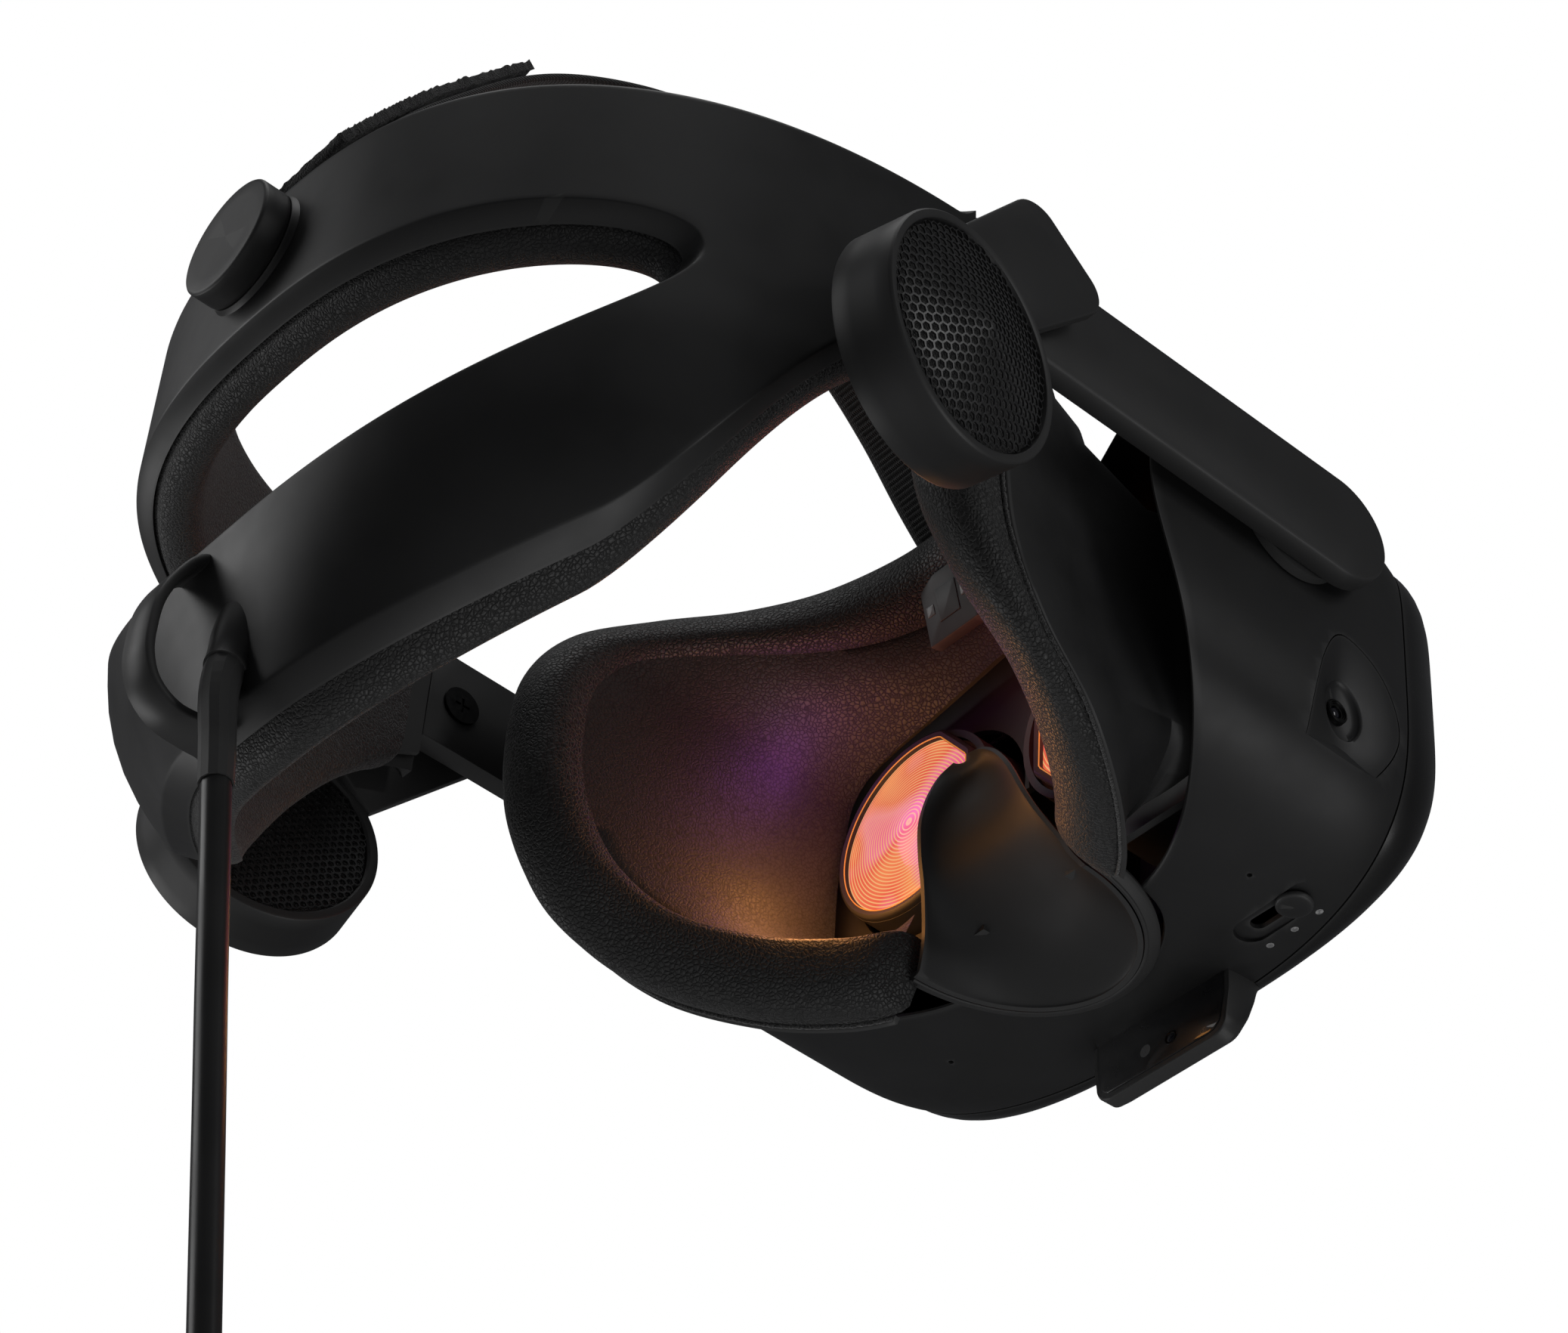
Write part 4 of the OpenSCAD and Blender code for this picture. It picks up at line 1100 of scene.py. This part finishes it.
def make_nose_flap():
    levels = curve(NOSE, 5)
    front, back = [], []
    for z, half, y0, reach in levels:
        row, inner = [], []
        for a in np.linspace(0, math.pi, 61):
            row.append(vec(half * math.cos(a), y0 - reach * math.sin(a), z))
            inner.append(vec((half - 1.3) * math.cos(a), y0 + 0.1 - (reach - 1.3) * math.sin(a), z + 0.1))
        front.append(row)
        back.append(inner)
    rings = [f + b[::-1] for f, b in zip(front, back)]
    skin = grid(rings)
    n = len(rings[0])
    half = n // 2
    for base in (0, (len(rings) - 1) * n):
        for j in range(half - 1):
            quad = (base + j, base + j + 1, base + n - 2 - j, base + n - 1 - j)
            skin[1].append(quad if base == 0 else quad[::-1])
    piece("nose_shield", *skin, RUBBER, "visor", ("nose_flap",), "nose_rubber", sharp=45)
    rim = [vec(30.6 * math.cos(a), -96 - 38.6 * math.sin(a), -68.2) for a in np.linspace(0.02,
        math.pi - 0.02, 80)]
    flange = [[vec(half * math.cos(a), -96 - reach * math.sin(a),
        z) for half, reach, z in ((30.0, 38.2, -68.5), (33.2, 41.4, -67.5), (33.8, 42.0, -66.6),
        (33.6, 41.8, -65.6), (29.8, 37.8, -66.0))] for a in np.linspace(0.02, math.pi - 0.02, 120)]
    piece("nose_frame", *grid(flange, caps=True), VISOR, "visor", (), "shell_black")
    piece("nose_rim", *grid(tube_rings(rim, [0.55] * len(rim), 10, (0, 0, 1)), caps=True), RUBBER, "visor",
        (), "nose_rubber", sharp=50)


make_housing()
make_cover()
make_side_cameras()
make_button()
make_pod()
make_nose_flap()


# ---- Lenses ----
LENS_X, LENS_Y, LENS_Z = 33, -97, -18
LENS_R = 24.2


def lens_outline(side, grow):
    """A round lens with its nasal side cut straight and its nasal corners cut off."""
    out = []
    for a in np.linspace(0, 2 * math.pi, 120, endpoint=False):
        c, s = math.cos(a), math.sin(a)
        r = LENS_R
        for nx, nz, d in ((-1, 0, 19.5), (-0.77, 0.64, 21.6), (-0.77, -0.64, 21.6)):
            along = c * nx + s * nz
            if along > 1e-6:
                r = min(r, d / along)
        out.append((side * c * (r + grow), s * (r + grow)))
    return out


def make_lenses():
    for side, word in ((1, "left"), (-1, "right")):
        mid = vec(side * LENS_X, LENS_Y, LENS_Z)
        base = np.array(lens_outline(side, 0))
        rings = []
        for k in (1.0, 0.97, 0.9, 0.8, 0.65, 0.5, 0.35, 0.2, 0.06):
            rings.append([mid + vec(x * k, 0.4 + 1.6 * (1 - k * k), z * k) for x, z in base])
        back = [[mid + vec(x * k, -1.5, z * k) for x, z in base] for k in (0.5, 1.0)]
        skin = grid(back + rings, caps=True)
        piece("fresnel_" + word, *skin, lens_glow("lens_glow_" + word, mid), word + "_eye",
            ("lens_" + word,), "lens_clear", sharp=50)
        rim = []
        for grow, y in ((-0.1, -1.2), (0.1, 1.0), (0.5, 1.6), (1.6, 1.9), (2.3, 1.5), (2.6, 0.8),
                (2.7, -2)):
            rim.append([mid + vec(x, y, z) for x, z in lens_outline(side, grow)])
        piece("lens_bezel_" + word, *grid(rim), INNER, word + "_eye", (), "liner_black")
        line = [mid + vec(x, 1.55, z) for x, z in lens_outline(side, 0.3)]
        piece("lens_edge_" + word, *ring_tube(line, 0.16), AMBER, word + "_eye", (), "lens_clear", sharp=60)


def amber_line():
    s = Shader("amber_edge", (0.3, 0.1, 0.02), 0.3)
    s.colour(s.ramp(s.noise(200), [(0.3, (0.3, 0.08, 0.02)), (0.7, (0.5, 0.2, 0.03))]))
    # painted glow: the amber edge line emits light though it is no lamp
    s.bsdf.inputs["Emission Color"].default_value = (1.0, 0.35, 0.06, 1)
    s.bsdf.inputs["Emission Strength"].default_value = 0.5
    return s.material


AMBER = amber_line()
make_lenses()


# ---- Face gasket ----
HALF_CREST = [(31, -92, -66), (42, -82, -69), (55, -66, -70), (67, -45, -67), (72, -25, -58),
    (73, -13, -42), (73, -9, -22), (71, -10, -2), (67, -20, 14), (58, -38, 24), (45, -55, 29),
    (30, -67, 32), (14, -75, 36), (0, -78, 39)]
CREST = HALF_CREST + [(-x, y, z) for x, y, z in HALF_CREST[-2::-1]]
CREST_LINE = even(curve(CREST, 16), 261, closed=False)
PROFILE = [(-9.2, -8.1), (-9.7, -5), (-9.8, -1.5), (-9.0, 2.0), (-7.2, 4.6), (-4.6, 6.1), (-1.6, 6.8),
    (1.6, 6.8), (4.8, 6.1), (7.6, 4.4), (9.3, 1.6), (9.9, -2), (9.7, -5), (9.3, -7.6), (8.8, -8.1),
    (4, -8.2), (-4, -8.2)]
FACE_MID = -18


def crest_out(p):
    return unit([p[0] * 0.72, 0, p[2] - FACE_MID])


def crest_spot(p, out, back):
    return p + crest_out(p) * out + vec(0, back, 0)


def make_cushion():
    rings = []
    last = len(CREST_LINE) - 1
    for i, p in enumerate(CREST_LINE):
        end = min(i, last - i)
        k = math.sqrt(1 - (1 - min(end / 4, 1)) ** 2) * 0.12 + 0.88
        rings.append([crest_spot(p, o * k, mix(-1, b, k)) for o, b in PROFILE])
    cushion = piece("face_pad", *grid(rings, caps=True), FACE_LEATHER, "gasket", ("face_cushion",),
        "leather_black", sharp=60)
    # sewn seam along the outer edge, and the moulded lip that it meets
    seeded = np.random.default_rng(3)
    seam = [crest_spot(p, 9.7, -8.0) for p in CREST_LINE[2:-2]]
    seam = [p + seeded.uniform(-0.05, 0.05, 3) for p in even(seam, 900, closed=False)]
    bumps = [0.42 + 0.16 * abs(math.sin(i * 0.9)) for i in range(len(seam))]
    piece("pad_seam", *grid(tube_rings(seam, bumps, 7, (0, 1, 0)), caps=True), STITCH, "gasket", (),
        "leather_black", sharp=80)
    lip = []
    for p in CREST_LINE[2:-2]:
        lip.append([crest_spot(p, o, b) for o, b in ((8.6, -8.4), (10.2, -8.4), (10.5, -8.7), (10.5, -9.6),
            (10.2, -9.9), (8.6, -9.9))])
    piece("gasket_lip", *grid(lip, caps=True), INNER, "gasket", (), "liner_black")


def make_gasket_frame():
    line = [p for p in CREST_LINE if p[1] > -88]
    rings = []
    for p in line:
        o = crest_out(p)
        f = vec(p[0] * 0.98, -100, mix(p[2], FACE_MID, 0.3))
        a = p + o * 9.0 + vec(0, -8.2, 0)
        b = f + o * 3.0
        outer = [a, mix(a, b, 0.05) - o * 0.3, mix(a, b, 0.3) - o * 1.4, mix(a, b, 0.36) - o * 3.2,
            mix(a, b, 0.7) - o * 3.2, mix(a, b, 0.76) - o * 1.2, b]
        inner = [q - o * 2.0 for q in outer[::-1]]
        rings.append(outer + inner)
    piece("gasket_wall", *grid(rings, caps=True), INNER, "gasket", ("gasket_frame",), "liner_black")
    # soft lining of the forehead and cheeks, from the pad down to the lenses
    rings = []
    for p in CREST_LINE[4:-4]:
        o = crest_out(p)
        start = p - o * 9.4 + vec(0, -6.5, 0)
        goal = vec(p[0] * 0.86, -96.5 + 2 * clamp01(p[2] / 40), mix(p[2], FACE_MID, 0.36)) - o * 2
        row = []
        for u in np.linspace(0, 1, 14):
            row.append(mix(start, goal, u) - o * 2.4 * math.sin(math.pi * u) * (1 - u))
        rings.append(row + [q + o * 1.2 for q in row[::-1]])
    piece("gasket_liner", *grid(rings, caps=True), LINING, "gasket", (), "leather_black", sharp=60)


def make_sensor():
    at = vec(0, -76.5, 23.0)
    tall = unit((0, 0.28, 0.96))
    out = unit(np.cross((1, 0, 0), tall)) * -1
    out = out if out[1] > 0 else -out

    def place(y, x, z):
        return at + vec(x, 0, 0) + tall * z + out * y
    frame_line = [(-8.5, -9.5), (8.5, -9.5), (8.5, 9.5), (-8.5, 9.5)]
    shapes = [slab(even(frame_line, 80), -3, 0.9, 0.4, place),
        slab(even([(-3.6, -4.6), (3.6, -4.6), (3.6, 4.6), (-3.6, 4.6)], 60), 0.8, 1.15, 0.1, place)]
    piece("sensor_panel", *joined(*shapes), INNER, "gasket", ("sensor_plate",), "window_black")
    corners = [(x, [(x - 1.3, -1.5), (x + 1.3, -1.5), (x + 1.3, 1.5), (x - 1.3, 1.5)]) for x in (-6, 6)]
    panes = [slab(even(pane, 24), 0.8, 1.05, 0.1, place) for _, pane in corners]
    piece("sensor_panes", *joined(*panes), PANE, "gasket", (), "window_black")


make_cushion()
make_gasket_frame()
make_sensor()


# ---- Carried parts ----
for word in ("left", "right"):
    paint("pivot_stub_" + word, BLACK_STEEL)
    paint("speaker_driver_" + word, DRIVER)
    paint("rack_" + word, NYLON)
    paint("lens_barrel_" + word, INNER)
for node, material in (("halo_upper_liner", INNER), ("halo_lower_liner", INNER), ("dial_shaft", STEEL),
        ("dial_pinion", NYLON), ("hinge_discs", ARM), ("hinge_pins", STEEL), ("pivot_screws", BLACK_STEEL),
        ("lens_bulkhead", INNER), ("displays", PANEL), ("mainboard", BOARD), ("microphones", STEEL),
        ("ipd_rail", STEEL), ("gasket_magnets", STEEL)):
    paint(node, material)


# ---- Stage ----
def make_stage():
    mesh = bpy.data.meshes.new("floor")
    mesh.from_pydata([(-14, -14, -1.15), (14, -14, -1.15), (14, 14, -1.15), (-14, 14, -1.15)], [],
        [(0, 1, 2, 3)])
    floor = bpy.data.objects.new("floor", mesh)
    pale = Shader("floor_paper", (0.82, 0.82, 0.82), 0.9)
    mesh.materials.append(pale.material)
    link(floor)


def make_world():
    world = bpy.data.worlds.new("studio")
    bpy.context.scene.world = world
    world.use_nodes = True
    tree = world.node_tree
    back = tree.nodes["Background"]
    output = tree.nodes["World Output"]
    back.inputs["Color"].default_value = (0.95, 0.96, 1, 1)
    back.inputs["Strength"].default_value = 0.07
    seen = tree.nodes.new("ShaderNodeBackground")
    seen.inputs["Color"].default_value = (1, 1, 1, 1)
    seen.inputs["Strength"].default_value = 1.0
    path = tree.nodes.new("ShaderNodeLightPath")
    both = tree.nodes.new("ShaderNodeMixShader")
    tree.links.new(path.outputs["Is Camera Ray"], both.inputs[0])
    tree.links.new(back.outputs[0], both.inputs[1])
    tree.links.new(seen.outputs[0], both.inputs[2])
    tree.links.new(both.outputs[0], output.inputs["Surface"])


def area(name, at, aim, size, power, colour=(1, 1, 1)):
    data = bpy.data.lights.new(name, "AREA")
    data.shape = "RECTANGLE"
    data.size, data.size_y = size
    data.energy = power
    data.color = colour
    light = bpy.data.objects.new(name, data)
    light.location = at
    light.rotation_mode = "QUATERNION"
    light.rotation_quaternion = (Vector(aim) - Vector(at)).to_track_quat("-Z", "Y")
    link(light)


def glow(name, at, power, colour, size=0.012):
    data = bpy.data.lights.new(name, "POINT")
    data.energy = power
    data.color = colour
    data.shadow_soft_size = size
    light = bpy.data.objects.new(name, data)
    light.location = [c * MM for c in at]
    link(light)


make_stage()
make_world()
MIDDLE = (0, 0, -0.03)
area("key", (0.9, 1.1, 0.6), MIDDLE, (0.9, 0.9), 5)
area("rim_left", (1.3, 0.5, -0.6), MIDDLE, (0.5, 1.4), 5)
area("under", (-0.5, -0.5, -1.05), MIDDLE, (0.9, 0.5), 3.2)
area("side", (-1.6, -0.5, 0.1), MIDDLE, (0.4, 1.2), 4)
area("top", (-0.2, 0.3, 1.6), MIDDLE, (1.4, 0.9), 6)
glow("warm", (40, -72, -48), 0.03, (1.0, 0.42, 0.10))
glow("violet", (50, -74, 0), 0.012, (0.55, 0.12, 0.75))
glow("red", (-25, -84, -5), 0.02, (1.0, 0.16, 0.14))
glow("amber", (48, -76, -40), 0.035, (1.0, 0.4, 0.12))
bpy.context.scene.view_settings.view_transform = "Standard"
